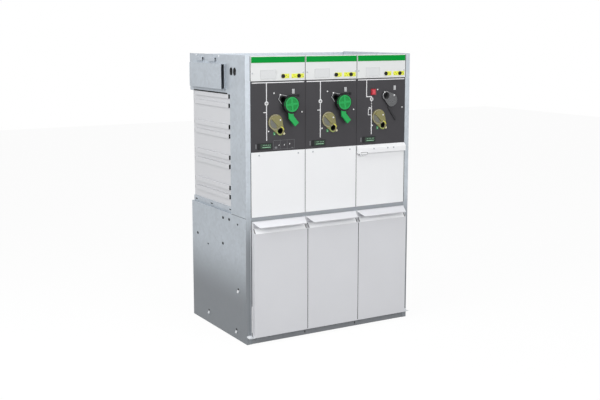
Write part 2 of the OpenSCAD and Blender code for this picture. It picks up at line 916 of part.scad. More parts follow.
// Interrupters with a rod up to the busbar and a link down to the bushing
module vacuum_bottles() {
    link_y = box_y + tank_wall + bushing_tail;
    color("#d8d4c8") for (i = [0 : UNITS - 1], k = [0 : PHASES - 1])
        translate([phase_x(i, k), bus_y[k], 0]) {
            translate([0, 0, bus_z - bottle_drop - bottle_l]) cylinder(d = bottle_d, h = bottle_l);
            translate([0, 0, bushing_z]) cylinder(d = rod_d, h = bus_z - bushing_z);
            translate([0, 0, bushing_z]) sphere(d = rod_knuckle_d);
            rod_y(0, bushing_z, rod_d, link_y - bus_y[k], 0);
        }
}

module clamp_rail() {
    x = half_w - sheet;
    color(galvanised) along_x(-x, x)
        channel_2d(clamp_rail_y, clamp_rail_z, clamp_rail_d, clamp_rail_h, clamp_rail_t);
}

// Earth bar on posts off the lower rear panel
module earth_bar() {
    x = half_w - sheet - earth_bar_end;
    y = base_back - earth_post_l;
    color(copper) {
        slab([-x, y - earth_bar_t, earth_bar_z], [x, y, earth_bar_z + earth_bar_h]);
        for (i = [0 : UNITS - 1])
            rod_y(unit_x(i) + unit_pitch / 2, earth_bar_z + earth_bar_h / 2, earth_post_d, y, base_back);
    }
}

// Side view of a door in Y and Z, drawn in by t and open at the back when t is set
module door_2d(t) {
    rear = t > 0 ? door_back + cut : door_back;
    wall = door_face + grip_depth + t;
    polygon([
        [rear, door_z + t], [door_face + t, door_z + t], [door_face + t, band_bottom - t / 2],
        [wall, band_top - t / 2], [wall, door_top - t], [rear, door_top - t]
    ]);
}

// Cable door: a folded tray with a sloping band and a hood to lift it by
module cable_door(i) {
    x0 = unit_x(i) + door_side_gap;
    x1 = unit_x(i) + unit_pitch - door_side_gap;
    slope = atan2(hood_drop, hood_out - part_gap);
    hood_l = norm([hood_drop, hood_out - part_gap]);
    color(door_grey) {
        difference() {
            along_x(x0, x1) door_2d(0);
            along_x(x0 + door_sheet, x1 - door_sheet) door_2d(door_sheet);
            for (x = [x0 + slit_set, x1 - slit_set - slit_w])
                slab([x, door_face - cut, band_bottom + slit_rim],
                    [x + slit_w, door_back, band_top - slit_rim]);
        }
        translate([0, door_back - hood_t * sin(slope), door_top]) rotate([slope, 0, 0]) {
            translate([0, 0, -hood_t]) linear_extrude(hood_t)
                polygon([
                    [x0 + hood_side, 0], [x0 + hood_inset, -hood_l],
                    [x1 - hood_inset, -hood_l], [x1 - hood_side, 0]
                ]);
            slab([x0 + hood_inset, -hood_l, -hood_t - hood_lip],
                [x1 - hood_inset, -hood_l + hood_t, -hood_t + weld]);
        }
    }
}

// Flat bar from a to c with one mitred bend at b
module bent_bar_2d(a, b, c, w) {
    across_1 = [a[1] - b[1], b[0] - a[0]] / norm(b - a);
    across_2 = [b[1] - c[1], c[0] - b[0]] / norm(c - b);
    mitre = (across_1 + across_2) / (1 + across_1 * across_2);
    polygon([
        a + across_1 * w / 2, b + mitre * w / 2, c + across_2 * w / 2,
        c - across_2 * w / 2, b - mitre * w / 2, a - across_1 * w / 2
    ]);
}

// Shaft with its crank between the drive unit's plates
module handle_shaft(x, z, y0) {
    rod_y(x, z, shaft_d, y0, drive_back + drive_t);
    rod_y(x, z, crank_d, drive_front + drive_t + crank_t, drive_front + drive_t + 2 * crank_t);
}

// Green handle: a dimpled disc with notches in its rim and a bent grip below it
module green_handle(y0) {
    difference() {
        along_y(y0, y0 + hub_t) difference() {
            circle(d = hub_d);
            for (a = notch_turns) rotate(a) translate([hub_d / 2, 0]) circle(d = notch_d);
        }
        for (a = [45 : 90 : 315])
            rod_y(dimple_r * cos(a), dimple_r * sin(a), dimple_d, y0 - cut, y0 + dimple_depth);
    }
    along_y(y0, y0 + hub_t) bent_bar_2d(grip_start, grip_bend, grip_end, grip_w);
    along_y(y0 + weld, y0 + grip_t) bar_2d(grip_bend, grip_back, grip_w - 2 * grip_step);
}

module switch_handle(i) {
    x = unit_x(i) + main_x;
    z = mimic_z + main_z;
    if (i == BREAKER) {
        y0 = front - clear_out + guard_t + part_gap;
        y1 = front - part_gap;
        color(black) {
            translate([x, 0, z]) along_y(y0, y1) {
                circle(d = lever_hub_d);
                bent_bar_2d(lever_path[0], lever_path[1], lever_path[2], lever_w);
            }
            handle_shaft(x, z, y1 - weld);
        }
    } else color(green) {
        translate([x, 0, z]) green_handle(front - hub_out);
        handle_shaft(x, z, front - hub_out + hub_t - weld);
    }
}

// Clear yellow selector: its tail has a window over the earthing socket at rest
module earth_selector(i) {
    x = unit_x(i) + sel_x;
    z = mimic_z + sel_z;
    y1 = front - part_gap;
    y0 = y1 - sel_t;
    color("#b5b04a") {
        translate([x, 0, z]) along_y(y0, y1) difference() {
            teardrop(sel_d / 2, sel_tail, socket_d / 2 + sel_tail_rim);
            translate(sel_tail) circle(d = sel_window_d);
        }
        translate([x, 0, z]) rotate([0, sel_bar_turn, 0])
            slab([-sel_bar[0] / 2, y0 - sel_bar[2], -sel_bar[1] / 2],
                [sel_bar[0] / 2, y0 + weld, sel_bar[1] / 2]);
        rod_y(x, z, sel_shaft_d, y1 - weld, drive_front + drive_t);
    }
}

module position_flag(i) {
    x = unit_x(i) + flag_x[i];
    z = mimic_z + flag_z;
    color("white") {
        rod_y(x, z, flag_d, front - flag_out, front + flag_t);
        rod_y(x, z, flag_shaft_d, front + flag_t - weld, drive_front + drive_t);
    }
}

// Sprung trip button: head, retaining rim behind the panel and a stem into the drive unit
module trip_button() {
    x = unit_x(BREAKER) + button_x;
    z = mimic_z + button_z;
    w = button_w / 2;
    h = button_h / 2;
    rim_y = front + sheet + part_gap;
    color("#d72d3c") {
        slab([x - w, front - button_out, z - h], [x + w, rim_y + weld, z + h]);
        slab([x - w - button_rim, rim_y, z - h - button_rim],
            [x + w + button_rim, rim_y + button_rim_t, z + h + button_rim]);
        rod_y(x, z, button_stem_d, rim_y, drive_front + drive_t);
    }
}

base_frame();
kick_plate();
door_ledge();
lower_side("left");  // lower_side_left
lower_side("right");  // lower_side_right
lower_rear_panel();
partitions();
cross_rail();
mech_floor();
mech_side("left");  // mech_side_left
mech_side("right");  // mech_side_right
tank();
tank_ribs();
upper_side("left");  // upper_side_left
upper_side("right");  // upper_side_right
upper_rear_panel();
top_plate();
busbar_end_box();
grommets();
for (i = [0 : UNITS - 1]) {
    header_cover(i);
    mimic_panel(i);
    mid_cover(i);
    lever_guard(i);
    earth_socket(i);
    cable_door(i);
    switch_handle(i);
    earth_selector(i);
    position_flag(i);
}
green_bands();
label_holders();
socket_strips();
test_sockets();
visor();
voltage_indicators();
shaft_bushes();
drive_units();
cable_bushings();
vacuum_bottles();
busbars();
clamp_rail();
earth_bar();
trip_button();
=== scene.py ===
"""Looks of a ring main unit with three functions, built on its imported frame."""

import json
import math

import bmesh
import bpy
from mathutils import Matrix, Vector


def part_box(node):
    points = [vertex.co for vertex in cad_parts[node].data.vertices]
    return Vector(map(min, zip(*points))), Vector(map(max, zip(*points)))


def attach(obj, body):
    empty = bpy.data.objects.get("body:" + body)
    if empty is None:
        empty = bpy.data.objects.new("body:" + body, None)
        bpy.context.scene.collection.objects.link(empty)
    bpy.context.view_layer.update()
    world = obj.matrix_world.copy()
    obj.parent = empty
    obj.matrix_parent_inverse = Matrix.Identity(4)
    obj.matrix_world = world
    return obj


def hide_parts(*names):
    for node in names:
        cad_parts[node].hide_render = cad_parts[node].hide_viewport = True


bl_info = {
    "name": "Ring Main Unit",
    "version": (1, 0, 0),
    "blender": (4, 5, 0),
    "location": "3D View > Sidebar > Switchgear",
    "description": "Gives the frame of a ring main unit its finishes, fasteners, printed lines and studio",
    "category": "Add Mesh",
}

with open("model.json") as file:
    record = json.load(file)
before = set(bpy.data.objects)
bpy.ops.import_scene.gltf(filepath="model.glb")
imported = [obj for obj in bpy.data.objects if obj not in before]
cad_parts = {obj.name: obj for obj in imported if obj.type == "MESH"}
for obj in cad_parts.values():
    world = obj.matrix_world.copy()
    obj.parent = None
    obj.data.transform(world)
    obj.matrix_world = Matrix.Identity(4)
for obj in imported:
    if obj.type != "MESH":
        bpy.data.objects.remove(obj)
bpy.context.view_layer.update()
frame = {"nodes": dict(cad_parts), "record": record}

MM = 0.001
UNITS = (1, 2, 3)
RING_UNITS = (1, 2)
BREAKER = 3
BODY_OF = {node: body for body, nodes in frame["record"]["behaviour"]["bodies"].items() for node in nodes}
SLOT_OF = {part["node"]: part["material_slot"] for part in frame["record"]["subparts"]}

# Ways that a piece modelled facing the front can be turned
LEFT = Matrix.Rotation(math.radians(-90), 4, "Z")
RIGHT = Matrix.Rotation(math.radians(90), 4, "Z")
REAR = Matrix.Rotation(math.radians(180), 4, "Z")
UP = Matrix.Rotation(math.radians(-90), 4, "X")

# Angle past which an edge is rounded, and angle up to which faces are shaded as one
SHARP = math.radians(38)
SMOOTH = math.radians(40)

# Places on a dark panel, in millimetres from its left and lower edges
HANDLE_AXIS = (229.2, 246)
LEVER_SOCKET = (191.2, 272)

# How far pieces stand out of a dark panel, in millimetres
KNOB_FACE = 33
GUARD_FACE = 12
TAIL_FACE = 4
SELECTOR_FACE = 6.4
WINDOW_FACE = 3
LAMP_FACE = 3.3


def linear(code):
    """Linear red, green and blue of an sRGB hex colour."""
    parts = [int(code[i:i + 2], 16) / 255 for i in (1, 3, 5)]
    return tuple(c / 12.92 if c <= 0.04045 else ((c + 0.055) / 1.055) ** 2.4 for c in parts)


class UnitColours(bpy.types.PropertyGroup):
    """Colours of the painted and moulded pieces."""

    zinc: bpy.props.FloatVectorProperty(
        name="Zinc", description="Galvanised cabinet sheet",
        subtype="COLOR", min=0, max=1, default=linear("#b7bec5"))
    stainless: bpy.props.FloatVectorProperty(
        name="Tank", description="Stainless sheet of the tank and its stiffeners",
        subtype="COLOR", min=0, max=1, default=linear("#d3d4d7"))
    white: bpy.props.FloatVectorProperty(
        name="Covers", description="White powder coat of the middle covers and the visor",
        subtype="COLOR", min=0, max=1, default=linear("#f2f3f5"))
    header: bpy.props.FloatVectorProperty(
        name="Headers", description="White powder coat of the header covers",
        subtype="COLOR", min=0, max=1, default=linear("#e2e4e4"))
    door: bpy.props.FloatVectorProperty(
        name="Doors", description="Pale grey powder coat of the cable doors",
        subtype="COLOR", min=0, max=1, default=linear("#dadbdf"))
    rail: bpy.props.FloatVectorProperty(
        name="Cross rail", description="Mid grey powder coat above the doors",
        subtype="COLOR", min=0, max=1, default=linear("#959a9f"))
    kick: bpy.props.FloatVectorProperty(
        name="Kick plate", description="Dark grey powder coat below the doors",
        subtype="COLOR", min=0, max=1, default=linear("#83868a"))
    panel: bpy.props.FloatVectorProperty(
        name="Mimic panels", description="Dark grey of the printed panels",
        subtype="COLOR", min=0, max=1, default=linear("#49484b"))
    ink: bpy.props.FloatVectorProperty(
        name="Ink", description="White screen print of the lines",
        subtype="COLOR", min=0, max=1, default=linear("#eeeef0"))
    green_film: bpy.props.FloatVectorProperty(
        name="Green bands", description="Green film on the headers",
        subtype="COLOR", min=0, max=1, default=linear("#079539"))
    yellow_film: bpy.props.FloatVectorProperty(
        name="Yellow strips", description="Yellow film under the test sockets",
        subtype="COLOR", min=0, max=1, default=linear("#ebf046"))
    handle: bpy.props.FloatVectorProperty(
        name="Handles", description="Green of the operating handles",
        subtype="COLOR", min=0, max=1, default=linear("#28a957"))
    selector: bpy.props.FloatVectorProperty(
        name="Selectors", description="Yellow of the clear earthing selectors",
        subtype="COLOR", min=0, max=1, default=linear("#aca66a"))
    button: bpy.props.FloatVectorProperty(
        name="Trip button", description="Red of the trip button",
        subtype="COLOR", min=0, max=1, default=linear("#a51f2d"))
    black: bpy.props.FloatVectorProperty(
        name="Black mouldings", description="Black of guards, sockets and indicators",
        subtype="COLOR", min=0, max=1, default=linear("#1c1d1f"))


class UnitSizes(bpy.types.PropertyGroup):
    """Sizes of the edges, fasteners and print."""

    fold_radius: bpy.props.FloatProperty(
        name="Fold radius", description="Outer radius of folded sheet edges",
        unit="LENGTH", min=0.0001, max=0.004, default=0.9 * MM)
    moulded_radius: bpy.props.FloatProperty(
        name="Moulded radius", description="Radius of the edges of moulded pieces",
        unit="LENGTH", min=0.0001, max=0.004, default=1.4 * MM)
    screw_d: bpy.props.FloatProperty(
        name="Screw head", description="Diameter of the cover screws' heads",
        unit="LENGTH", min=0.004, max=0.02, default=9 * MM)
    rivet_d: bpy.props.FloatProperty(
        name="Rivet head", description="Diameter of the blind rivets' heads",
        unit="LENGTH", min=0.003, max=0.015, default=8 * MM)
    line_w: bpy.props.FloatProperty(
        name="Line width", description="Width of the printed lines",
        unit="LENGTH", min=0.001, max=0.01, default=4.6 * MM)
    ink_t: bpy.props.FloatProperty(
        name="Ink thickness", description="Thickness of the screen print",
        unit="LENGTH", min=0.00005, max=0.001, default=0.25 * MM)


class UnitStage(bpy.types.PropertyGroup):
    """Camera and light of the studio."""

    eye: bpy.props.FloatVectorProperty(
        name="Camera", description="Where the camera stands",
        subtype="XYZ", unit="LENGTH", default=(-2.7853, -4.7525, 1.6528))
    yaw: bpy.props.FloatProperty(
        name="Camera turn", description="Turn of the camera to the right of straight ahead",
        unit="ROTATION", default=math.radians(30.42))
    pitch: bpy.props.FloatProperty(
        name="Camera tilt", description="Tilt of the camera below the horizon",
        unit="ROTATION", default=math.radians(8.476))
    lens: bpy.props.FloatProperty(
        name="Lens", description="Focal length in millimetres on a 36 mm sensor",
        min=10, max=200, default=57.56)
    shift: bpy.props.FloatProperty(
        name="Lens shift", description="Upright shift of the lens as a share of the picture's width",
        min=-0.2, max=0.2, default=-0.04)
    front_power: bpy.props.FloatProperty(
        name="Front softbox", description="Power of the softbox in front",
        unit="POWER", min=0, default=94)
    side_power: bpy.props.FloatProperty(
        name="Side softbox", description="Power of the high softbox at the left",
        unit="POWER", min=0, default=60)
    top_power: bpy.props.FloatProperty(
        name="Top softbox", description="Power of the softbox overhead",
        unit="POWER", min=0, default=32)
    sky: bpy.props.FloatProperty(
        name="Room light", description="Strength of the even light of the room",
        min=0, max=2, default=0.34)


def on_face(node, x, z, out=0.0):
    """Place on a node's front, in millimetres from its left edge, its lower edge and its face."""
    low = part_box(node)[0]
    return low + Vector((x, -out, z)) * MM


def seated(node, x, z, out=0.0):
    """Where a piece modelled at the origin goes to sit on a node's front."""
    return Matrix.Translation(on_face(node, x, z, out))


def wall_y(y):
    """Y of a place that is so many millimetres behind the cabinet's front."""
    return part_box("mech_side_left")[0].y + y * MM


def on_both_sides(spots, x):
    """Places for pieces that face out of both sides, in millimetres from the front and the floor."""
    places = []
    for y, z in spots:
        places.append(Matrix.Translation((x, wall_y(y), z * MM)) @ LEFT)
        places.append(Matrix.Translation((-x, wall_y(y), z * MM)) @ RIGHT)
    return places


def only(piece):
    """Leave edit mode and select one piece alone."""
    if bpy.context.object and bpy.context.object.mode == "EDIT":
        bpy.ops.object.mode_set(mode="OBJECT")
    bpy.ops.object.select_all(action="DESELECT")
    if piece:
        piece.select_set(True)
    bpy.context.view_layer.objects.active = piece


def start_piece(name, kind, **shape):
    """Add a primitive with nothing else selected, put its place in its mesh and open it for editing."""
    only(None)
    getattr(bpy.ops.mesh, f"primitive_{kind}_add")(**shape)
    piece = bpy.context.object
    piece.name = piece.data.name = name
    bpy.ops.object.transform_apply(location=True, rotation=True, scale=True)
    bpy.ops.object.mode_set(mode="EDIT")
    return piece


def start_plate(name, centre, width, height, thick):
    """Open for editing a plate that lies on a front face and stands out of it."""
    return start_piece(name, "cube", size=1, location=centre - Vector((0, thick / 2, 0)),
                       scale=(width, thick, height))


def pick_faces(test):
    """In edit mode, select only the faces whose middle and normal pass the test."""
    bpy.ops.mesh.select_mode(type="FACE")
    bpy.ops.mesh.select_all(action="DESELECT")
    mesh = bpy.context.object.data
    for face in bmesh.from_edit_mesh(mesh).faces:
        if test(face.calc_center_median(), face.normal):
            face.select_set(True)
    bmesh.update_edit_mesh(mesh)


def pick_front(node):
    """In edit mode, select only the faces that lie in the front plane of a node."""
    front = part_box(node)[0].y
    pick_faces(lambda centre, normal: normal.y < -0.99 and abs(centre.y - front) < 0.1 * MM)


def pick_edges(test, sharper=None):
    """In edit mode, select only the edges whose middle passes the test, and past an angle if one is given."""
    bpy.ops.mesh.select_mode(type="EDGE")
    bpy.ops.mesh.select_all(action="DESELECT")
    mesh = bpy.context.object.data
    for edge in bmesh.from_edit_mesh(mesh).edges:
        middle = (edge.verts[0].co + edge.verts[1].co) / 2
        if test(middle) and (sharper is None or edge.calc_face_angle(0) > sharper):
            edge.select_set(True)
    bmesh.update_edit_mesh(mesh)


def pull(x, y, z):
    """Extrude what is selected by a step in metres."""
    bpy.ops.mesh.extrude_region_move(TRANSFORM_OT_translate={"value": (x, y, z)})


def looks_front(centre, normal):
    """True for a face that looks straight to the front."""
    return normal.y < -0.999


def close_mesh():
    """In edit mode, merge what meets and turn all faces outwards."""
    bpy.ops.mesh.select_all(action="SELECT")
    bpy.ops.mesh.remove_doubles(threshold=0.01 * MM)
    bpy.ops.mesh.normals_make_consistent(inside=False)


def soften(piece, radius, segments=2):
    """Round the sharp edges of a piece."""
    only(piece)
    edges = piece.modifiers.new("Rounded edges", "BEVEL")
    edges.width = radius
    edges.segments = segments
    edges.limit_method = "ANGLE"
    edges.angle_limit = SHARP
    bpy.ops.object.modifier_apply(modifier=edges.name)
    bpy.ops.object.mode_set(mode="EDIT")
    bpy.ops.mesh.select_all(action="SELECT")
    bpy.ops.mesh.dissolve_degenerate(threshold=0.005 * MM)
    even_out(piece)


def even_out(piece):
    """Shade the rounded edges of a piece smoothly and keep its flat faces even."""
    only(piece)
    bpy.ops.object.shade_smooth_by_angle(angle=math.radians(50))
    shading = piece.modifiers.new("Even shading", "WEIGHTED_NORMAL")
    shading.keep_sharp = True
    bpy.ops.object.modifier_apply(modifier=shading.name)


def seat(piece, body, slot, key=None):
    """Give a piece the finish of a slot or of another key, and the body that it rides on."""
    only(piece)
    piece.data.materials.clear()
    piece.data.materials.append(finish(key or slot))
    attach(piece, body)
    return piece


def open_copy(node):
    """Open for editing a merged copy of a node's mesh."""
    piece = bpy.data.objects.new(f"{node}_dressed", frame["nodes"][node].data.copy())
    bpy.context.scene.collection.objects.link(piece)
    only(piece)
    bpy.ops.mesh.customdata_custom_splitnormals_clear()
    bpy.ops.object.mode_set(mode="EDIT")
    bpy.ops.mesh.select_all(action="SELECT")
    bpy.ops.mesh.remove_doubles(threshold=0.02 * MM)
    bpy.ops.mesh.dissolve_limited(angle_limit=math.radians(1))
    return piece


def stand_in(piece, node, radius, segments=2):
    """Finish a node's edited copy, rounded if a radius is given, and show it in the node's place."""
    if radius:
        soften(piece, radius, segments)
    else:
        even_out(piece)
    seat(piece, BODY_OF[node], SLOT_OF[node])
    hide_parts(node)
    return piece


def dress(node, radius, segments=2):
    """Show a copy of a node with rounded edges in the node's place."""
    return stand_in(open_copy(node), node, radius, segments)


def repeat(master, name, places):
    """One piece made of copies of a master at the given places; the master goes."""
    only(None)
    copies = []
    for place in places:
        mesh = master.data.copy()
        mesh.transform(place)
        copies.append(bpy.data.objects.new(name, mesh))
        bpy.context.scene.collection.objects.link(copies[-1])
        copies[-1].select_set(True)
    bpy.context.view_layer.objects.active = copies[0]
    bpy.ops.object.join()
    bpy.data.objects.remove(master)
    copies[0].name = copies[0].data.name = name
    return copies[0]


def join(name, pieces):
    """Join pieces into one."""
    only(pieces[0])
    for piece in pieces:
        piece.select_set(True)
    bpy.ops.object.join()
    pieces[0].name = pieces[0].data.name = name
    return pieces[0]


def sunk_plate(name, centre, size, border, step):
    """Plate on a front face whose field is set back by a step inside a border, or out by a negative step."""
    plate = start_plate(name, centre, *size)
    pick_faces(looks_front)
    bpy.ops.mesh.inset(thickness=border)
    pull(0, step, 0)
    only(plate)
    return plate


def edged_plate(name, centre, size, radius, segments=2):
    """Plate on a front face whose front edges are rounded."""
    plate = start_plate(name, centre, *size)
    pick_faces(looks_front)
    bpy.ops.mesh.bevel(offset=radius, segments=segments, affect="EDGES")
    only(plate)
    return plate


def mitred(path, width):
    """Pairs of points on both sides of a path on a front face, mitred at its bends."""
    along = [(b - a).normalized() for a, b in zip(path, path[1:])]
    rows = []
    for i, point in enumerate(path):
        before, after = along[max(i - 1, 0)], along[min(i, len(along) - 1)]
        bisector = Vector((-(before + after).z, 0, (before + after).x)).normalized()
        reach = width / 2 / bisector.dot(Vector((-before.z, 0, before.x)))
        rows.append((point + bisector * reach, point - bisector * reach))
    return rows


def ribbon(name, path, width, thick):
    """Flat line of even width along a path on a front face."""
    rows = mitred(path, width)
    piece = start_piece(name, "plane", size=width)
    work = bmesh.from_edit_mesh(piece.data)
    for vert, place in zip(work.faces[:][0].verts, (rows[0][0], rows[0][1], rows[1][1], rows[1][0])):
        vert.co = place
    bmesh.update_edit_mesh(piece.data)
    for start, end in zip(rows[1:], rows[2:]):
        pick_edges(lambda spot: (spot - (start[0] + start[1]) / 2).length < 0.01 * MM)
        pull(0, 0, 0)
        work = bmesh.from_edit_mesh(piece.data)
        for vert in [v for v in work.verts if v.select]:
            vert.co = end[0] if (vert.co - start[0]).length < (vert.co - start[1]).length else end[1]
        bmesh.update_edit_mesh(piece.data)
    bpy.ops.mesh.select_all(action="SELECT")
    pull(0, -thick, 0)
    close_mesh()
    # Where a path ends at its start, the two ends meet inside the line and come out.
    bpy.ops.mesh.select_all(action="DESELECT")
    bpy.ops.mesh.select_interior_faces()
    bpy.ops.mesh.delete(type="ONLY_FACE")
    only(None)
    return piece


def ring(name, inner, outer, thick, start=0, sweep=360):
    """Ring or arc that lies on a front face round the origin, with angles in degrees from the right."""
    piece = start_piece(name, "plane", size=1)
    work = bmesh.from_edit_mesh(piece.data)
    corners = ((inner, 0), (outer, 0), (outer, -thick), (inner, -thick))
    for vert, (x, y) in zip(work.faces[:][0].verts, corners):
        turn = math.radians(start)
        vert.co = (x * math.cos(turn), y, x * math.sin(turn))
    bmesh.update_edit_mesh(piece.data)
    if sweep == 360:
        bpy.ops.mesh.delete(type="ONLY_FACE")
    bpy.ops.mesh.select_all(action="SELECT")
    # One step for every 9 degrees, and 6 at least
    bpy.ops.mesh.spin(steps=max(6, sweep // 9), angle=math.radians(sweep), center=(0, 0, 0), axis=(0, 1, 0))
    close_mesh()
    only(None)
    return piece


def ring_at(name, place, inner, outer, thick, *span):
    """Ring or arc round a place on a front face, with its sizes in millimetres."""
    return repeat(ring(name, inner * MM, outer * MM, thick * MM, *span), name, [Matrix.Translation(place)])


def dome(name, diameter, height):
    """Low dome that lies on a front face at the origin."""
    piece = start_piece(name, "uv_sphere", segments=24, ring_count=12, radius=diameter / 2)
    bpy.ops.mesh.bisect(plane_co=(0, 0, 0), plane_no=(0, 1, 0), use_fill=True, clear_outer=True)
    bpy.ops.mesh.select_all(action="SELECT")
    bpy.ops.transform.resize(value=(1, 2 * height / diameter, 1), center_override=(0, 0, 0))
    close_mesh()
    only(piece)
    bpy.ops.object.shade_smooth_by_angle(angle=SMOOTH)
    return piece


def stud():
    """Small dome of a clear plate, on a front face at the origin."""
    return dome("stud", 8.5 * MM, 3 * MM)


def headed(name, diameter, height, socket):
    """Round fastener head with a domed rim and a socket, on a front face at the origin."""
    rim, depth = 0.55 * height, 0.5 * height
    piece = start_piece(name, "cylinder", vertices=24, radius=diameter / 2, depth=height,
                        location=(0, -height / 2, 0), rotation=(math.pi / 2, 0, 0))
    pick_faces(looks_front)
    bpy.ops.mesh.bevel(offset=rim, segments=3, affect="EDGES")
    pick_faces(looks_front)
    bpy.ops.mesh.inset(thickness=diameter / 2 - rim - socket / 2)
    pull(0, depth, 0)
    close_mesh()
    only(piece)
    bpy.ops.object.shade_smooth_by_angle(angle=SMOOTH)
    return piece


def add(tree, kind, inputs=None, **settings):
    """Add a node with its settings, and set or link its inputs."""
    made = tree.nodes.new(kind)
    for name, value in settings.items():
        setattr(made, name, value)
    for name, value in (inputs or {}).items():
        if isinstance(value, bpy.types.NodeSocket):
            tree.links.new(value, made.inputs[name])
        else:
            made.inputs[name].default_value = value
    return made


def start_material(name, constants):
    """New material: returns it with its tree, its shader and the piece's own coordinates."""
    material = bpy.data.materials.new(name)
    material.use_nodes = True
    tree = material.node_tree
    shader = tree.nodes["Principled BSDF"]
    for socket, value in constants.items():
        shader.inputs[socket].default_value = value
    return material, tree, shader, add(tree, "ShaderNodeTexCoord").outputs["Object"]


def tones(colour, drift):
    """A darker and a lighter tone of a hex colour or of one of the unit's colours."""
    if colour.startswith("#"):
        parts = linear(colour)
    else:
        parts = getattr(bpy.context.scene.rmu_colours, colour)
    return tuple((*(min(1, c * k) for c in parts), 1) for k in (1 - drift, 1 + drift))


def coated(name, colour, drift, patch, roughness, grain, depth, constants):
    """Material whose tone drifts over patches and whose skin has a grain, with sizes in millimetres."""
    material, tree, shader, place = start_material(name, constants)
    dark, light = tones(colour, drift)
    cloud = add(tree, "ShaderNodeTexNoise", {"Vector": place, "Scale": 1000 / patch, "Detail": 4})
    skin = add(tree, "ShaderNodeTexNoise", {"Vector": place, "Scale": 1000 / grain, "Detail": 2})
    tone = add(tree, "ShaderNodeMix", {0: cloud.outputs["Fac"], 6: dark, 7: light}, data_type="RGBA")
    gloss = add(tree, "ShaderNodeMapRange", {
        "Value": skin.outputs["Fac"], "From Min": 0.3, "From Max": 0.7,
        "To Min": roughness[0], "To Max": roughness[1]})
    relief = add(tree, "ShaderNodeBump", {"Height": skin.outputs["Fac"], "Distance": depth * MM})
    tree.links.new(tone.outputs[2], shader.inputs["Base Color"])
    tree.links.new(gloss.outputs[0], shader.inputs["Roughness"])
    tree.links.new(relief.outputs[0], shader.inputs["Normal"])
    return material


def galvanised_sheet():
    """Hot-dip zinc on steel sheet, skin-passed: flat crystals with faint edges under a dull oxide."""
    material, tree, shader, place = start_material("Galvanised sheet", {"Metallic": 0.55})
    dark, light = tones("zinc", 0.16)
    # Crystals are 5 to 15 mm across. They are drawn at 16 mm, because a pixel covers 6 mm.
    crystals = add(tree, "ShaderNodeTexVoronoi", {"Vector": place, "Scale": 1000 / 16})
    cloud = add(tree, "ShaderNodeTexNoise", {"Vector": place, "Scale": 1000 / 130, "Detail": 5})
    blend = add(tree, "ShaderNodeMix", {0: 0.45, 2: cloud.outputs["Fac"], 3: crystals.outputs["Color"]})
    tone = add(tree, "ShaderNodeMix", {0: blend.outputs[0], 6: dark, 7: light}, data_type="RGBA")
    # Painted shade: the zinc is darker towards the floor, and from higher up on the front posts.
    spot = add(tree, "ShaderNodeSeparateXYZ", {"Vector": place})
    post = add(tree, "ShaderNodeMapRange", {
        "Value": spot.outputs["Y"], "From Min": -0.335, "From Max": -0.344, "To Min": 0, "To Max": 0.3})
    level = add(tree, "ShaderNodeMath", {0: spot.outputs["Z"], 1: post.outputs[0]}, operation="SUBTRACT")
    dull = add(tree, "ShaderNodeMapRange", {
        "Value": level.outputs[0], "From Min": 0.52, "From Max": 0.18, "To Max": 0.88},
        interpolation_type="SMOOTHSTEP")
    shaded_zinc = add(tree, "ShaderNodeMix", {0: dull.outputs[0], 6: tone.outputs[2], 7: (*linear("#777b7f"), 1)},
               data_type="RGBA")
    gloss = add(tree, "ShaderNodeMapRange", {"Value": blend.outputs[0], "To Min": 0.42, "To Max": 0.6})
    grain = add(tree, "ShaderNodeTexNoise", {"Vector": place, "Scale": 1000 / 5, "Detail": 3})
    relief = add(tree, "ShaderNodeBump", {"Height": grain.outputs["Fac"], "Distance": 0.04 * MM})
    tree.links.new(shaded_zinc.outputs[2], shader.inputs["Base Color"])
    tree.links.new(gloss.outputs[0], shader.inputs["Roughness"])
    tree.links.new(relief.outputs[0], shader.inputs["Normal"])
    return material


def stainless_sheet():
    """Cold-rolled stainless steel: satin, with long faint rolling marks from front to back."""
    material, tree, shader, place = start_material("Stainless sheet", {"Metallic": 0.6})
    dark, light = tones("stainless", 0.03)
    # Rolling marks are 0.1 mm wide and are drawn 4 mm wide and 400 mm long to show at all.
    stretched = add(tree, "ShaderNodeMapping", {"Vector": place, "Scale": (1, 0.01, 1)})
    marks = add(tree, "ShaderNodeTexNoise", {"Vector": stretched.outputs[0], "Scale": 1000 / 4, "Detail": 3})
    tone = add(tree, "ShaderNodeMix", {0: marks.outputs["Fac"], 6: dark, 7: light}, data_type="RGBA")
    gloss = add(tree, "ShaderNodeMapRange", {"Value": marks.outputs["Fac"], "To Min": 0.36, "To Max": 0.52})
    relief = add(tree, "ShaderNodeBump", {"Height": marks.outputs["Fac"], "Distance": 0.01 * MM})
    tree.links.new(tone.outputs[2], shader.inputs["Base Color"])
    tree.links.new(gloss.outputs[0], shader.inputs["Roughness"])
    tree.links.new(relief.outputs[0], shader.inputs["Normal"])
    return material


# A powder coat's orange peel is about 1 mm across. It is drawn at 3 mm, so that it shows close up.
def white_powder():
    """White powder coat: even and bright, with a soft sheen that the orange peel breaks up."""
    return coated("White powder coat", "white", 0.02, 160, (0.42, 0.54), 3, 0.05, {"IOR": 1.5})


def header_powder():
    """White powder coat of the headers: the same coat, a touch greyer."""
    return coated("Dulled white powder coat", "header", 0.02, 160, (0.42, 0.54), 3, 0.05, {"IOR": 1.5})


def door_powder():
    """Pale grey powder coat: a little duller than the covers and cloudy where hands clean it."""
    return coated("Pale grey powder coat", "door", 0.03, 220, (0.44, 0.58), 3, 0.05, {"IOR": 1.5})


def rail_powder():
    """Mid grey powder coat: matt, with a slight mottle."""
    return coated("Mid grey powder coat", "rail", 0.05, 90, (0.5, 0.62), 3, 0.05, {"IOR": 1.5})


def kick_powder():
    """Dark grey powder coat: scuffed by feet, so its tone drifts more."""
    return coated("Dark grey powder coat", "kick", 0.12, 60, (0.5, 0.7), 3, 0.06, {"IOR": 1.5})


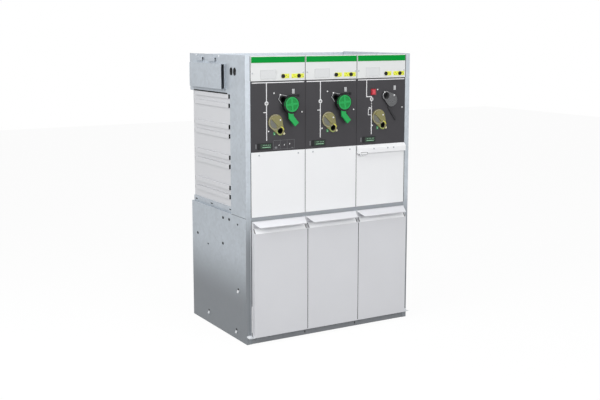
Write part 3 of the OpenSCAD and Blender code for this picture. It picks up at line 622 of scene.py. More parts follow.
def panel_film():
    """Dark polyester overlay on steel: matt and finely pebbled, so lamps leave only a dull glow."""
    return coated("Dark polyester overlay", "panel", 0.06, 45, (0.5, 0.62), 2.5, 0.04,
                  {"IOR": 1.5, "Specular IOR Level": 0.08})


def lever_powder():
    """Dark grey powder coat of the third lever: close to the panel's tone, so the lever hardly stands out."""
    return coated("Dark grey lever coat", "#38383a", 0.08, 20, (0.5, 0.62), 2.5, 0.04,
                  {"IOR": 1.5, "Specular IOR Level": 0.15})


def white_ink():
    """Screen-printed white ink: flat, and thin enough for the dark base to dull it in places."""
    return coated("Screen-printed white ink", "ink", 0.06, 12, (0.45, 0.6), 2, 0.02, {"IOR": 1.48})


def grey_ink():
    """Screen-printed grey ink: faint rules and marks on the dark panel."""
    return coated("Screen-printed grey ink", "#77787b", 0.08, 10, (0.45, 0.6), 2, 0.02, {"IOR": 1.48})


def pale_ink():
    """Screen-printed pale grey ink: a rule that hardly stands out from the white coat."""
    return coated("Screen-printed pale grey ink", "#c4c6c8", 0.06, 10, (0.45, 0.6), 2, 0.02, {"IOR": 1.48})


def green_vinyl():
    """Cast green vinyl film: smooth and slightly glossy, with faint waves from its adhesive."""
    return coated("Green vinyl film", "green_film", 0.04, 70, (0.4, 0.5), 8, 0.03,
                  {"IOR": 1.53, "Specular IOR Level": 0.04})


def yellow_vinyl():
    """Cast yellow vinyl film: smooth, bright and a little uneven."""
    return coated("Yellow vinyl film", "yellow_film", 0.04, 30, (0.3, 0.42), 6, 0.03, {"IOR": 1.53})


def white_abs():
    """Moulded white ABS: clean, with a spark-eroded grain."""
    return coated("White ABS", "#eceded", 0.03, 30, (0.35, 0.48), 1.5, 0.03, {"IOR": 1.53})


def grey_card():
    """Uncoated pale card behind the label holder's window: dull and fibrous."""
    return coated("Pale card", "#dddfe0", 0.03, 18, (0.7, 0.85), 2, 0.03, {"IOR": 1.47})


def black_polyamide():
    """Moulded black glass-filled polyamide: dull, with a greyish drift where fibres reach the skin."""
    return coated("Black glass-filled polyamide", "black", 0.2, 14, (0.42, 0.58), 1.8, 0.05,
                  {"IOR": 1.53, "Specular IOR Level": 0.2})


def green_polyamide():
    """Moulded green polyamide: satin, with faint flow marks."""
    return coated("Green polyamide", "handle", 0.06, 25, (0.36, 0.5), 2, 0.04,
                  {"IOR": 1.53, "Specular IOR Level": 0.2})


def shaded_pocket_polyamide():
    """Moulded green polyamide in the knob's pockets: deeper in tone, a painted shade of the recesses."""
    return coated("Green polyamide pockets", "#1f9448", 0.12, 12, (0.45, 0.6), 2, 0.04,
                  {"IOR": 1.53, "Specular IOR Level": 0.2})


def red_abs():
    """Moulded red ABS: polished by fingers, so it shines."""
    return coated("Red ABS", "button", 0.05, 16, (0.2, 0.3), 3, 0.02, {"IOR": 1.53})


def red_highlight_pad():
    """Pale middle of the red button: a painted highlight, paler than its edges."""
    return coated("Worn red ABS", "#d84553", 0.08, 10, (0.25, 0.38), 2, 0.02, {"IOR": 1.53})


def clear_polycarbonate():
    """Moulded clear polycarbonate: see-through with a grey haze from fine scratches."""
    return coated("Clear polycarbonate", "#707173", 0.1, 14, (0.2, 0.35), 3, 0.02,
                  {"IOR": 1.58, "Transmission Weight": 0.3, "Specular IOR Level": 0.3})


def polycarbonate_edge():
    """Cut edge of the clear polycarbonate: pale and bright, a painted highlight."""
    return coated("Polycarbonate edge", "#d4d5d8", 0.08, 8, (0.2, 0.35), 2, 0.02,
                  {"IOR": 1.58, "Transmission Weight": 0.2})


def yellow_polycarbonate():
    """Moulded yellow polycarbonate: half see-through, so it looks olive over the dark panel."""
    return coated("Yellow polycarbonate", "selector", 0.05, 20, (0.1, 0.24), 3, 0.02,
                  {"IOR": 1.58, "Transmission Weight": 0.45})


def selector_pocket():
    """Thin floor of the yellow moulding: the dark panel shows through, so it looks grey."""
    return coated("Thin yellow polycarbonate", "#77786f", 0.1, 12, (0.15, 0.28), 2, 0.02,
                  {"IOR": 1.58, "Transmission Weight": 0.2})


def yellow_edge():
    """Thick edge of the yellow polycarbonate: bright yellow, a painted highlight."""
    return coated("Yellow polycarbonate edge", "#e9e54a", 0.06, 8, (0.2, 0.32), 2, 0.02,
                  {"IOR": 1.58, "Transmission Weight": 0.15})


def pale_yellow_edge():
    """Thin rim of the yellow polycarbonate: pale, a painted highlight of the room's light."""
    return coated("Pale yellow polycarbonate rim", "#b0a892", 0.06, 8, (0.18, 0.3), 2, 0.02,
                  {"IOR": 1.58, "Transmission Weight": 0.3})


def lime_edge():
    """Edge of the yellow polycarbonate next to the green tab: green-yellow, a painted green reflection of the
    tab.
    """
    return coated("Green-lit polycarbonate edge", "#9db45c", 0.08, 8, (0.2, 0.32), 2, 0.02,
                  {"IOR": 1.58, "Transmission Weight": 0.15})


def cream_abs():
    """Moulded cream ABS of the small latch tabs: smooth and a little yellow."""
    return coated("Cream ABS", "#dcd8b4", 0.05, 8, (0.3, 0.42), 1.5, 0.02, {"IOR": 1.53})


def grey_tag():
    """Printed grey tag: dull, with a slight fleck."""
    return coated("Grey laminate tag", "#b9babc", 0.08, 6, (0.5, 0.65), 2, 0.03, {"IOR": 1.5})


def indicator_window():
    """Tinted acrylic window: nearly black and glossy, with a green cast from the lamps behind it."""
    return coated("Tinted acrylic window", "#2c4133", 0.25, 20, (0.1, 0.2), 4, 0.01, {"IOR": 1.49})


def lamp_lens():
    """Diffusing acrylic lens of an indicator lamp: pale green and soft."""
    return coated("Diffusing acrylic lens", "#9fd6ae", 0.1, 5, (0.3, 0.45), 1.5, 0.02, {"IOR": 1.49})


def green_tab_abs():
    """Moulded bright green ABS of the small position tabs: smooth, with a slight shine."""
    return coated("Bright green ABS", "#2b8048", 0.08, 8, (0.28, 0.4), 1.5, 0.02, {"IOR": 1.53})


def epdm_rubber():
    """Moulded EPDM rubber: black and dull, with a faint grey bloom."""
    return coated("EPDM rubber", "#101112", 0.25, 12, (0.6, 0.8), 1.5, 0.04,
                  {"IOR": 1.52, "Specular IOR Level": 0.2})


def sintered_bronze():
    """Sintered bronze: fine open pores and a dull gold tone."""
    return coated("Sintered bronze", "#b08d4f", 0.12, 8, (0.4, 0.55), 1, 0.04, {"Metallic": 1})


def zinc_plate():
    """Bright zinc-plated steel: clear blue-white passivation over drawn steel."""
    return coated("Zinc-plated steel", "#b4b8bc", 0.1, 9, (0.3, 0.45), 2, 0.03, {"Metallic": 0.85})


def bright_zinc():
    """Pale zinc on small pressed pieces: paler than the sheet. On the top plate and the door ledge it is a
    painted highlight of faces that look up at the light.
    """
    return coated("Fresh zinc", "#dfe2e5", 0.06, 9, (0.35, 0.5), 2, 0.03, {"Metallic": 0.3})


def weld_bead():
    """Stainless weld bead: rippled, and a little duller than the sheet beside it."""
    return coated("Stainless weld bead", "#b9b9ba", 0.06, 6, (0.35, 0.5), 3, 0.15, {"Metallic": 0.6})


def cast_epoxy():
    """Cast filled epoxy: red-brown, smooth, with a soft gloss from the mould."""
    return coated("Cast epoxy", "#8a4a33", 0.08, 35, (0.3, 0.42), 4, 0.03, {"IOR": 1.55})


def insulating_housing():
    """Cast insulating housing: cream, glossy and slightly cloudy."""
    return coated("Cast insulating housing", "#d9d4c7", 0.05, 40, (0.2, 0.32), 5, 0.02, {"IOR": 1.55})


def bare_copper():
    """Drawn copper bar: warm, with a brown oxide that drifts along it."""
    return coated("Drawn copper", "#b87345", 0.18, 45, (0.28, 0.45), 3, 0.03, {"Metallic": 1})


FINISHES = {
    "galvanised": galvanised_sheet,
    "tank_steel": stainless_sheet,
    "kick_paint": kick_powder,
    "rail_paint": rail_powder,
    "white_paint": white_powder,
    "header_white": header_powder,
    "door_paint": door_powder,
    "mimic_paint": panel_film,
    "lever": lever_powder,
    "green_film": green_vinyl,
    "yellow_film": yellow_vinyl,
    "white_plastic": white_abs,
    "black_plastic": black_polyamide,
    "clear_plastic": clear_polycarbonate,
    "green_plastic": green_polyamide,
    "yellow_plastic": yellow_polycarbonate,
    "red_plastic": red_abs,
    "red_highlight_pad": red_highlight_pad,
    "bright_zinc": bright_zinc,
    "selector_pocket": selector_pocket,
    "pocket": shaded_pocket_polyamide,
    "cream_tab": cream_abs,
    "lime_edge": lime_edge,
    "grey_tag": grey_tag,
    "rubber": epdm_rubber,
    "bronze": sintered_bronze,
    "drive_steel": zinc_plate,
    "epoxy": cast_epoxy,
    "bottle": insulating_housing,
    "copper": bare_copper,
    "white_ink": white_ink,
    "grey_ink": grey_ink,
    "pale_ink": pale_ink,
    "card": grey_card,
    "clear_edge": polycarbonate_edge,
    "yellow_edge": yellow_edge,
    "pale_yellow_edge": pale_yellow_edge,
    "window": indicator_window,
    "lens": lamp_lens,
    "green_tab": green_tab_abs,
    "weld": weld_bead,
}
made_finishes = {}


def finish(key):
    """The material of a finish, made the first time it is asked for."""
    if key not in made_finishes:
        made_finishes[key] = FINISHES[key]()
    return made_finishes[key]


class RMU_OT_cabinet(bpy.types.Operator):
    """Round the folds of the galvanised cabinet, the cross rail and the kick plate"""

    bl_idname = "rmu.cabinet"
    bl_label = "Cabinet"

    def execute(self, context):
        radius = context.scene.rmu_sizes.fold_radius
        for side in ("left", "right"):
            for panel in ("lower_side", "mech_side", "upper_side"):
                dress(f"{panel}_{side}", radius)
        for node in ("busbar_end_box", "upper_rear_panel", "lower_rear_panel", "cross_rail", "kick_plate"):
            dress(node, radius)
        # The door ledge and the top plate take the pale zinc as a painted highlight, where light from above
        # falls on them.
        for node in ("door_ledge", "top_plate"):
            dress(node, radius).data.materials[0] = finish("bright_zinc")
        return {"FINISHED"}


class RMU_OT_tank(bpy.types.Operator):
    """Round the tank's stiffeners, weld them on along both edges and put dark plates at their ends as painted
    shade
    """

    bl_idname = "rmu.tank"
    bl_label = "Tank"

    def execute(self, context):
        dress("tank_ribs", 0.9 * MM, 3)
        low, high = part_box("tank_ribs")
        wall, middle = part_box("tank")[0].x, (low.y + high.y) / 2
        group_pitch, pair_pitch, height = 165 * MM, 50 * MM, 24 * MM
        tops = [high.z - group * group_pitch - rib * pair_pitch for group in range(4) for rib in range(2)]
        seams, ends = [], []
        for top in tops:
            for side in (1, -1):
                x, z = side * (wall + low.x) / 2, top - height / 2
                ends += [Matrix.Translation((x, low.y, z)), Matrix.Translation((x, high.y, z)) @ REAR]
            for z in (top, top - height):
                seams += [Matrix.Translation((side * wall, middle, z)) for side in (1, -1)]
        seat(repeat(self.bead(high.y - low.y - 8 * MM), "weld_seams", seams), "cabinet", "tank_steel", "weld")
        # Dark rubber plates at the stiffeners' ends: painted shade of their hollow ends.
        cap = sunk_plate("cap", Vector(), (12.6 * MM, 23.4 * MM, 1 * MM), 1.2 * MM, 0.5 * MM)
        seat(repeat(cap, "rib_end_caps", ends), "cabinet", "rubber")
        return {"FINISHED"}

    def bead(self, length):
        """Weld bead with rounded ends that runs from front to back."""
        bead = start_piece("bead", "cylinder", vertices=10, radius=1.2 * MM, depth=length,
                           rotation=(math.pi / 2, 0, 0))
        pick_faces(lambda centre, normal: abs(normal.y) > 0.9)
        bpy.ops.mesh.bevel(offset=0.9 * MM, segments=2, affect="EDGES")
        close_mesh()
        only(bead)
        bpy.ops.object.shade_smooth_by_angle(angle=math.radians(45))
        return bead


class RMU_OT_side_trim(bpy.types.Operator):
    """Trim the sides with foot strips, seams and hooks, and with dark strips and plates that paint the shade
    of gaps, holes and slots
    """

    bl_idname = "rmu.side_trim"
    bl_label = "Side trim"

    def execute(self, context):
        tank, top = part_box("tank"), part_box("lower_side_left")[1].z
        side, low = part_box("mech_side_left"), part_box("upper_side_left")[0].z
        wall, foot, thick = side[0].x, tank[0].x, 6 * MM
        strip = (side[1].y, tank[1].y, top, top + 31 * MM)
        seal = (wall_y(207), wall_y(638), low, low + 7 * MM)
        seam = (wall_y(1), wall_y(176), top - 1 * MM, top + 1 * MM)
        self.strip("foot_strips", strip, foot, thick, "galvanised", 1 * MM)
        # Dark rubber strips under the upper side panels: painted shadow of the gap there.
        self.strip("side_seals", seal, wall, 0.6 * MM, "rubber", 0.2 * MM)
        # Dark plates in the foot slots, the holes and the hook slots: painted shade of their openings.
        self.both("foot_slots", self.plug(26, 6), foot - thick, ((652, 700), (446, 702), (209, 704)))
        self.both("hole_plugs", self.plug(20, 14), wall, ((278, 649), (203, 651), (616, 504), (283, 504)))
        self.both("small_plugs", self.plug(14, 9), wall, ((101, 640), (476, 465)))
        self.both("hook_slots", self.plug(15, 7), wall, ((99, 286), (476, 76), (125, 55)))
        self.both("hooks", self.hook(), wall, ((99, 272), (476, 62), (125, 41)), "drive_steel", "bright_zinc")
        self.strip("side_seams", seam, wall, 0.2 * MM, "rubber", 0.05 * MM)
        return {"FINISHED"}

    def strip(self, name, span, x, thick, slot, radius):
        """Flat strip along both sides, from its front to its rear and from its foot to its top."""
        front, rear, low, high = span
        plate = edged_plate(name, Vector(), (rear - front, high - low, thick), radius)
        y, z = (front + rear) / 2, (low + high) / 2
        places = [Matrix.Translation((x, y, z)) @ LEFT, Matrix.Translation((-x, y, z)) @ RIGHT]
        strip = repeat(plate, name, places)
        bpy.ops.object.shade_smooth_by_angle(angle=SMOOTH)
        seat(strip, "cabinet", slot)

    def plug(self, width, height):
        """Round-cornered dark plate that fills a hole, with its sizes in millimetres: painted shade of the
        opening.
        """
        thick = 0.5 * MM
        plug = start_plate("plug", Vector(), width * MM, height * MM, thick)
        pick_edges(lambda spot: abs(spot.y + thick / 2) < 0.01 * MM)
        bpy.ops.mesh.bevel(offset=0.45 * height * MM, segments=4, affect="EDGES")
        pick_faces(looks_front)
        bpy.ops.mesh.inset(thickness=0.15 * height * MM, depth=-0.2 * MM)
        only(plug)
        return plug

    def hook(self):
        """Pressed tongue below its slot, bent out of the sheet."""
        tongue = start_plate("hook", Vector(), 17 * MM, 14 * MM, 1.5 * MM)
        pick_edges(lambda spot: spot.z < -6 * MM and spot.y < -1 * MM)
        bpy.ops.transform.translate(value=(0, -5 * MM, 0))
        only(tongue)
        soften(tongue, 0.6 * MM)
        return tongue

    def both(self, name, master, x, spots, slot="rubber", key=None):
        """Copies of a piece on both sides, at places in millimetres from the front and the floor."""
        seat(repeat(master, name, on_both_sides(spots, x)), "cabinet", slot, key)


class RMU_OT_front_trim(bpy.types.Operator):
    """Trim the front with a lip under the cross rail, dark strips and slots that paint the shade of gaps and
    openings, and bright strips that paint highlights on the posts
    """

    bl_idname = "rmu.front_trim"
    bl_label = "Front trim"

    def execute(self, context):
        doors = [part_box(f"cable_door_{n}") for n in UNITS]
        gaps = [(left[1].x + right[0].x) / 2 for left, right in zip(doors, doors[1:])]
        self.cover_seals()
        self.rail_lip()
        self.door_seals(gaps, doors[0][1].y)
        self.kick_slots(gaps)
        self.post_edges(doors[0][0].x - 6.5 * MM)
        return {"FINISHED"}

    def cover_seals(self):
        """Dark rubber strips at the left of each white cover, and at the right of the last ones: painted
        shade of the gaps between the covers.
        """
        gap_shade_strips, out = [], 0.8 * MM
        for kind in ("header_cover", "mid_cover"):
            for n in UNITS:
                low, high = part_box(f"{kind}_{n}")
                for x in (low.x - out, high.x + out) if n == BREAKER else (low.x - out,):
                    path = [Vector((x, low.y, z)) for z in (low.z + 1 * MM, high.z - 1 * MM)]
                    gap_shade_strips.append(ribbon("cover_seal", path, 3.4 * MM, 0.3 * MM))
        seat(join("cover_seals", gap_shade_strips), "cabinet", "rubber")

    def rail_lip(self):
        """Lip below the cross rail, behind the tops of the doors."""
        low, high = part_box("cross_rail")
        centre = Vector(((low.x + high.x) / 2, low.y + 2 * MM, low.z - 8 * MM))
        lip = start_plate("rail_lip", centre, high.x - low.x - 4 * MM, 22 * MM, 1 * MM)
        pick_edges(lambda spot: spot.z < low.z - 18 * MM)
        bpy.ops.mesh.bevel(offset=0.4 * MM, segments=2, affect="EDGES")
        only(lip)
        seat(lip, "cabinet", "rail_paint")

    def door_seals(self, gaps, rear):
        """Dark rubber profiles behind the gaps between the doors: painted shade of the gaps."""
        centre, size = Vector((0, rear + 2.4 * MM, 356 * MM)), (12 * MM, 618 * MM, 2.2 * MM)
        seal = sunk_plate("seal", centre, size, 2 * MM, 0.4 * MM)
        seat(repeat(seal, "door_seals", [Matrix.Translation((x, 0, 0)) for x in gaps]), "cabinet", "rubber")

    def kick_slots(self, gaps):
        """Dark grey marks at the slots in the kick plate, below the gaps between the doors and near its right
        end: painted shade of their openings.
        """
        low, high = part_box("kick_plate")
        slots = []
        for x in (*gaps, high.x - 12 * MM):
            path = [Vector((x, low.y, high.z - z * MM)) for z in (19, 31)]
            slots.append(ribbon("kick_slot", path, 6 * MM, 0.3 * MM))
        seat(join("kick_slots", slots), "cabinet", "rubber", "lever")

    def post_edges(self, x):
        """Bright strips on the front posts beside the doors: painted highlights of their edges."""
        centre = Vector((0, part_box("lower_side_left")[0].y, 338 * MM))
        edge = edged_plate("edge", centre, (5 * MM, 572 * MM, 1.4 * MM), 1 * MM, 3)
        edges = repeat(edge, "post_edges", [Matrix.Translation((side, 0, 0)) for side in (x, -x)])
        bpy.ops.object.shade_smooth_by_angle(angle=SMOOTH)
        seat(edges, "cabinet", "drive_steel")


class RMU_OT_grommets(bpy.types.Operator):
    """Give the rubber grommets a rounded lip and a thin membrane"""

    bl_idname = "rmu.grommets"
    bl_label = "Grommets"

    def execute(self, context):
        piece = open_copy("grommets")
        low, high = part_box("grommets")
        pick_faces(lambda centre, normal: abs(normal.x) > 0.99
                   and min(centre.x - low.x, high.x - centre.x) < 0.1 * MM)
        bpy.ops.mesh.inset(thickness=5 * MM, depth=-1.2 * MM, use_individual=True)
        stand_in(piece, "grommets", 0.9 * MM, 3)
        return {"FINISHED"}


class RMU_OT_covers(bpy.types.Operator):
    """Round the folds of the white covers and of the visor, close the visor's ends and outline its latch"""

    bl_idname = "rmu.covers"
    bl_label = "Covers"

    def execute(self, context):
        radius = context.scene.rmu_sizes.fold_radius
        for n in UNITS:
            dress(f"header_cover_{n}", radius).data.materials[0] = finish("header_white")
            dress(f"mid_cover_{n}", radius)
        dress("visor", radius)
        latch = ((40, 293.2), (18.4, 293.2), (18.4, 305.8), (62, 305.8), (62, 293.2), (40, 293.2))
        path = [on_face("mid_cover_3", x, z, 17.5) for x, z in latch]
        seat(ribbon("latch_outline", path, 2.4 * MM, 0.4 * MM), "cabinet", "white_plastic", "grey_ink")
        self.visor_ends()
        return {"FINISHED"}

    def visor_ends(self):
        """Plates that close the visor's two ends below its sloping top."""
        low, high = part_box("visor")
        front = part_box("mid_cover_3")[0].y
        size, slope = Vector((1, 14.6, 42)) * MM, 14 * MM
        middle = Vector((0, front - 0.3 * MM - size.y / 2, high.z - 1.2 * MM - size.z / 2))
        plate = start_piece("end", "cube", size=1, location=middle, scale=size)
        pick_edges(lambda spot: spot.z > middle.z + 0.49 * size.z and spot.y < middle.y - 0.49 * size.y)
        bpy.ops.transform.translate(value=(0, 0, -slope))
        places = [Matrix.Translation((x, 0, 0)) for x in (low.x + 0.9 * MM, high.x - 0.9 * MM)]
        seat(repeat(plate, "visor_ends", places), "cabinet", "white_paint")


class RMU_OT_doors(bpy.types.Operator):
    """Round the folds of the cable doors, put painted shade in their slits and the gaps between them, and a
    painted highlight on their grips
    """

    bl_idname = "rmu.doors"
    bl_label = "Cable doors"

    def execute(self, context):
        for n in UNITS:
            low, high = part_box(f"cable_door_{n}")
            self.rounded(n, high.y - 7 * MM)
            self.slit_linings(n, low, high)
            self.grip_band(n, low, high)
            if n > 1:
                self.edge_seal(n, low, high)
        return {"FINISHED"}

    def rounded(self, n, back):
        """Round a door's edges in front of its back, where the hood's fold has steps too small to round."""
        piece = open_copy(f"cable_door_{n}")
        # The fold meets the back in one line, whose ends are merged so that each face there has an area.
        fold_y, fold_z, near, step = -345.4 * MM, 665.71 * MM, 0.01 * MM, 1.1 * MM
        bpy.ops.mesh.select_mode(type="VERT")
        bpy.ops.mesh.select_all(action="DESELECT")
        for vertex in bmesh.from_edit_mesh(piece.data).verts:
            if abs(vertex.co.y - fold_y) < near and abs(vertex.co.z - fold_z) < near:
                vertex.select_set(True)
        bmesh.update_edit_mesh(piece.data)
        bpy.ops.mesh.remove_doubles(threshold=step)
        pick_edges(lambda spot: spot.y < back, SHARP)
        bpy.ops.mesh.bevel(offset=0.6 * MM, segments=2, affect="EDGES", clamp_overlap=True)
        stand_in(piece, f"cable_door_{n}", None)

    def slit_linings(self, n, low, high):
        """Black strips in the slits beside a door's hood: painted shade inside the slits."""
        slit_shade_strips = []
        for x in (low.x + 6.5 * MM, high.x - 6.5 * MM):
            path = [Vector((x, high.y - y * MM, high.z - z * MM)) for y, z in ((24, 61.5), (6.4, 35))]
            slit_shade_strips.append(ribbon("lining", path, 8 * MM, 0.4 * MM))
        seat(join(f"slit_linings_{n}", slit_shade_strips), f"door_{n}", "rubber")

    def grip_band(self, n, low, high):
        """White band on the sloping face below a door's hood, where fingers reach in: partly a white
        moulding, partly a painted highlight of a face that slopes up to the light.
        """
        height, slope = 28 * MM, 22 / 30
        middle = Vector(((low.x + high.x) / 2, high.y - 28.9 * MM, high.z - 48 * MM))
        band = start_plate(f"grip_band_{n}", middle, high.x - low.x - 21 * MM, height, 0.4 * MM)
        pick_edges(lambda spot: spot.z > middle.z + 0.49 * height)
        bpy.ops.transform.translate(value=(0, height * slope, 0))
        pick_edges(lambda spot: spot.z < middle.z - 0.49 * height and spot.y < middle.y - 0.39 * MM)
        bpy.ops.mesh.bevel(offset=0.2 * MM, segments=2, affect="EDGES")
        only(band)
        seat(band, f"door_{n}", "white_paint")

    def edge_seal(self, n, low, high):
        """Dark rubber strip along a door's left edge: painted shade that darkens the gap beside it."""
        strip = edged_plate("strip", Vector(), (26 * MM, 556 * MM, 0.6 * MM), 0.3 * MM)
        place = Matrix.Translation((low.x, high.y - 14.6 * MM, 324 * MM)) @ LEFT
        seat(repeat(strip, f"edge_seal_{n}", [place]), f"door_{n}", "rubber")


class RMU_OT_header_trim(bpy.types.Operator):
    """Finish the bands, strips, label holders and test sockets, and add cards, rules and phase dots"""

    bl_idname = "rmu.header_trim"
    bl_label = "Header trim"

    def execute(self, context):
        dress("green_bands", 0.3 * MM)
        dress("socket_strips", 0.3 * MM)
        dress("label_holders", 0.5 * MM)
        piece = open_copy("test_sockets")
        pick_front("test_sockets")
        for border, step in ((2.4, 0), (0.6, -1.5), (2, 0), (0.4, 1)):
            bpy.ops.mesh.inset(thickness=border * MM, depth=step * MM, use_individual=True)
        stand_in(piece, "test_sockets", 0.3 * MM)
        self.phase_dots()
        self.cards()
        return {"FINISHED"}

    def phase_dots(self):
        """Black dots on the yellow strips that mark the phases."""
        dot = ring("dot", 0.5 * MM, 2.1 * MM, 0.3 * MM)
        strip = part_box("socket_strips")[0].y
        places = []
        for n in UNITS:
            for x, z in ((214, 27), (224, 20), (252, 16), (259, 28), (266, 20), (309, 28), (316, 19)):
                spot = on_face(f"header_cover_{n}", x, z)
                places.append(Matrix.Translation((spot.x, strip, spot.z)))
        seat(repeat(dot, "phase_dots", places), "cabinet", "black_plastic")

    def cards(self):
        """Blank cards in the label holders, each with a pale rule round it."""
        front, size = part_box("label_holders")[0].y, (89.6 * MM, 43.6 * MM, 0.6 * MM)
        x, z, half_width, half_height = 104.2, 34, 46.2, 23.2
        corners = ((0, -1), (-1, -1), (-1, 1), (1, 1), (1, -1), (0, -1))
        cards, rules = [], []
        for n in UNITS:
            cover = f"header_cover_{n}"
            spot = on_face(cover, x, z)
            middle = Vector((spot.x, front + 1 * MM, spot.z))
            cards.append(sunk_plate("card", middle, size, 2.5 * MM, -0.15 * MM))
            path = [on_face(cover, x + half_width * u, z + half_height * v) for u, v in corners]
            for point in path:
                point.y = front
            rules.append(ribbon("rule", path, 1.6 * MM, 0.2 * MM))
        seat(join("label_cards", cards), "cabinet", "white_plastic", "card")
        seat(join("label_rules", rules), "cabinet", "white_plastic", "pale_ink")


class RMU_OT_mimic_panels(bpy.types.Operator):
    """Round the edges of the dark panels"""

    bl_idname = "rmu.mimic_panels"
    bl_label = "Mimic panels"

    def execute(self, context):
        for n in UNITS:
            dress(f"mimic_panel_{n}", 0.7 * MM)
        return {"FINISHED"}


class RMU_OT_printed_lines(bpy.types.Operator):
    """Print the single-line diagram and the small legend on the dark panels"""

    bl_idname = "rmu.printed_lines"
    bl_label = "Printed lines"

    def execute(self, context):
        main_line = (1, (8, 362), (322, 362))
        ring_unit = (
            main_line, (1, (94, 360), (94, 265)), (1, (94, 242), (94, 58)), (0.9, (75, 207), (92, 207)))
        breaker = (
            main_line, (1, (65, 360), (65, 268.5), (99, 268.5), (99, 265)),
            *((0.8, (99, z), (99, z - 5)) for z in (241, 232, 223)),
            (0.7, (79, 209), (103, 203)), (1, (99, 215), (99, 58)),
            (0.7, (96, 200), (78, 200), (78, 167), (96, 167)))
        for n in UNITS:
            self.print_lines(f"printed_lines_{n}", n, ring_unit if n in RING_UNITS else breaker, "white_ink")
        # The legend is a ruled box with plain marks beside the first voltage indicator.
        rules = (
            (0.22, (198, 10), (134, 10), (134, 57), (262, 57), (262, 10), (198, 10)),
            (0.2, (176, 10), (176, 57)), (0.2, (218, 10), (218, 57)),
            (0.6, (244, 14), (254, 14)), (2.2, (142, 19), (157, 19)))
        marks = [(0.8, (x, z - 3), (x + 3, z + 3)) for x, z in ((167, 31), (199, 31), (231, 35))]
        self.print_lines("legend_rules", 1, rules, "grey_ink")
        self.print_lines("legend_marks", 1, marks, "white_ink")
        return {"FINISHED"}

    def print_lines(self, name, n, lines, ink):
        """Lines on a panel, each with its share of the full width and its points in millimetres."""
        sizes, printed = bpy.context.scene.rmu_sizes, []
        for share, *points in lines:
            path = [on_face(f"mimic_panel_{n}", x, z) for x, z in points]
            printed.append(ribbon("printed_line", path, sizes.line_w * share, sizes.ink_t))
        seat(join(name, printed), "cabinet", "white_plastic", ink)


class RMU_OT_panel_tags(bpy.types.Operator):
    """Fix the rivets, grey tags and position tabs to the dark panels"""

    bl_idname = "rmu.panel_tags"
    bl_label = "Panel tags"

    def execute(self, context):
        rivet = headed("rivet", context.scene.rmu_sizes.rivet_d, 1.6 * MM, 2 * MM)
        spots = ((139, 306), (309, 202), (105, 107))
        places = [seated(f"mimic_panel_{n}", x, z) for n in UNITS for x, z in spots]
        seat(repeat(rivet, "panel_rivets", places), "cabinet", "white_plastic")
        self.plates("lock_tags", (15, 25, 2), (255.5, 313), 2.4, "white_plastic", "grey_tag")
        self.plates("function_tags", (6, 24, 0.8), (30, 30), 1.2, "white_plastic", "grey_ink")
        self.plates("green_tabs", (13, 16, 0.3), (140, 93), 2.4, "green_plastic", "green_tab")
        # The selectors turn 0.4 mm above the panel, so the green tabs under them are films with printed dots.
        tab, dot = dome("tab", 13 * MM, 3 * MM), ring("dot", 0.4 * MM, 3 * MM, 0.1 * MM)
        for name, spot, master, slot, key in (
                ("cream_tabs", (199, 91, 0), tab, "yellow_plastic", "cream_tab"),
                ("tab_dots", (141, 90, 0.24), dot, "green_plastic", "lens")):
            places = [seated(f"mimic_panel_{n}", *spot) for n in UNITS]
            seat(repeat(master, name, places), "cabinet", slot, key)
        return {"FINISHED"}

    def plates(self, name, size, spot, border, slot, key):
        """One small plate with a sunk field on each panel, with its sizes in millimetres."""
        width, height, thick = (length * MM for length in size)
        plates = []
        for n in UNITS:
            plate = start_plate(name, on_face(f"mimic_panel_{n}", *spot), width, height, thick)
            pick_faces(looks_front)
            bpy.ops.mesh.bevel(offset=0.3 * thick, segments=2, affect="EDGES")
            pick_faces(looks_front)
            bpy.ops.mesh.inset(thickness=border * MM)
            pull(0, 0.2 * thick, 0)
            only(plate)
            bpy.ops.object.shade_smooth_by_angle(angle=SMOOTH)
            plates.append(plate)
        seat(join(name, plates), "cabinet", slot, key)


class RMU_OT_handles(bpy.types.Operator):
    """Round the mouldings of the operating handles and give the green ones a ribbed knob"""

    bl_idname = "rmu.handles"
    bl_label = "Operating handles"

    def execute(self, context):
        for n in UNITS:
            handle = dress(f"switch_handle_{n}", context.scene.rmu_sizes.moulded_radius, 3)
            if n in RING_UNITS:
                self.knob(n)
            else:
                handle.data.materials[0] = finish("lever")
        return {"FINISHED"}

    def knob(self, n):
        """Rim, hub and cross ribs over dark pockets, with a black collar round them."""
        body, middle = f"handle_{n}", on_face(f"mimic_panel_{n}", *HANDLE_AXIS, KNOB_FACE)
        # The darker green disc under the ribs is painted shade in the pockets between them.
        seat(ring_at(f"knob_pockets_{n}", middle, 1, 34, 0.3), body, "green_plastic", "pocket")
        collars = [ring_at("collar", middle, 39.6, outer, thick, *span)
                   for outer, thick, span in ((44, 1.6, ()), (49, 1.4, (190, 115)))]
        collar = join(f"knob_collar_{n}", collars)
        soften(collar, 0.5 * MM)
        seat(collar, body, "black_plastic")
        parts = [ring_at("rim", middle, inner, outer, 3.2) for inner, outer in ((32.5, 39.2), (1.5, 10))]
        lean = 0.1
        for u, v in ((1, 0), (0, 1), (-1, 0), (0, -1)):
            along = Vector((u - lean * v, 0, v + lean * u)) * MM
            parts.append(ribbon("rib", [middle + 9 * along, middle + 33 * along], 10 * MM, 2.8 * MM))
        ribs = join(f"knob_ribs_{n}", parts)
        soften(ribs, 0.7 * MM)
        seat(ribs, body, "green_plastic")


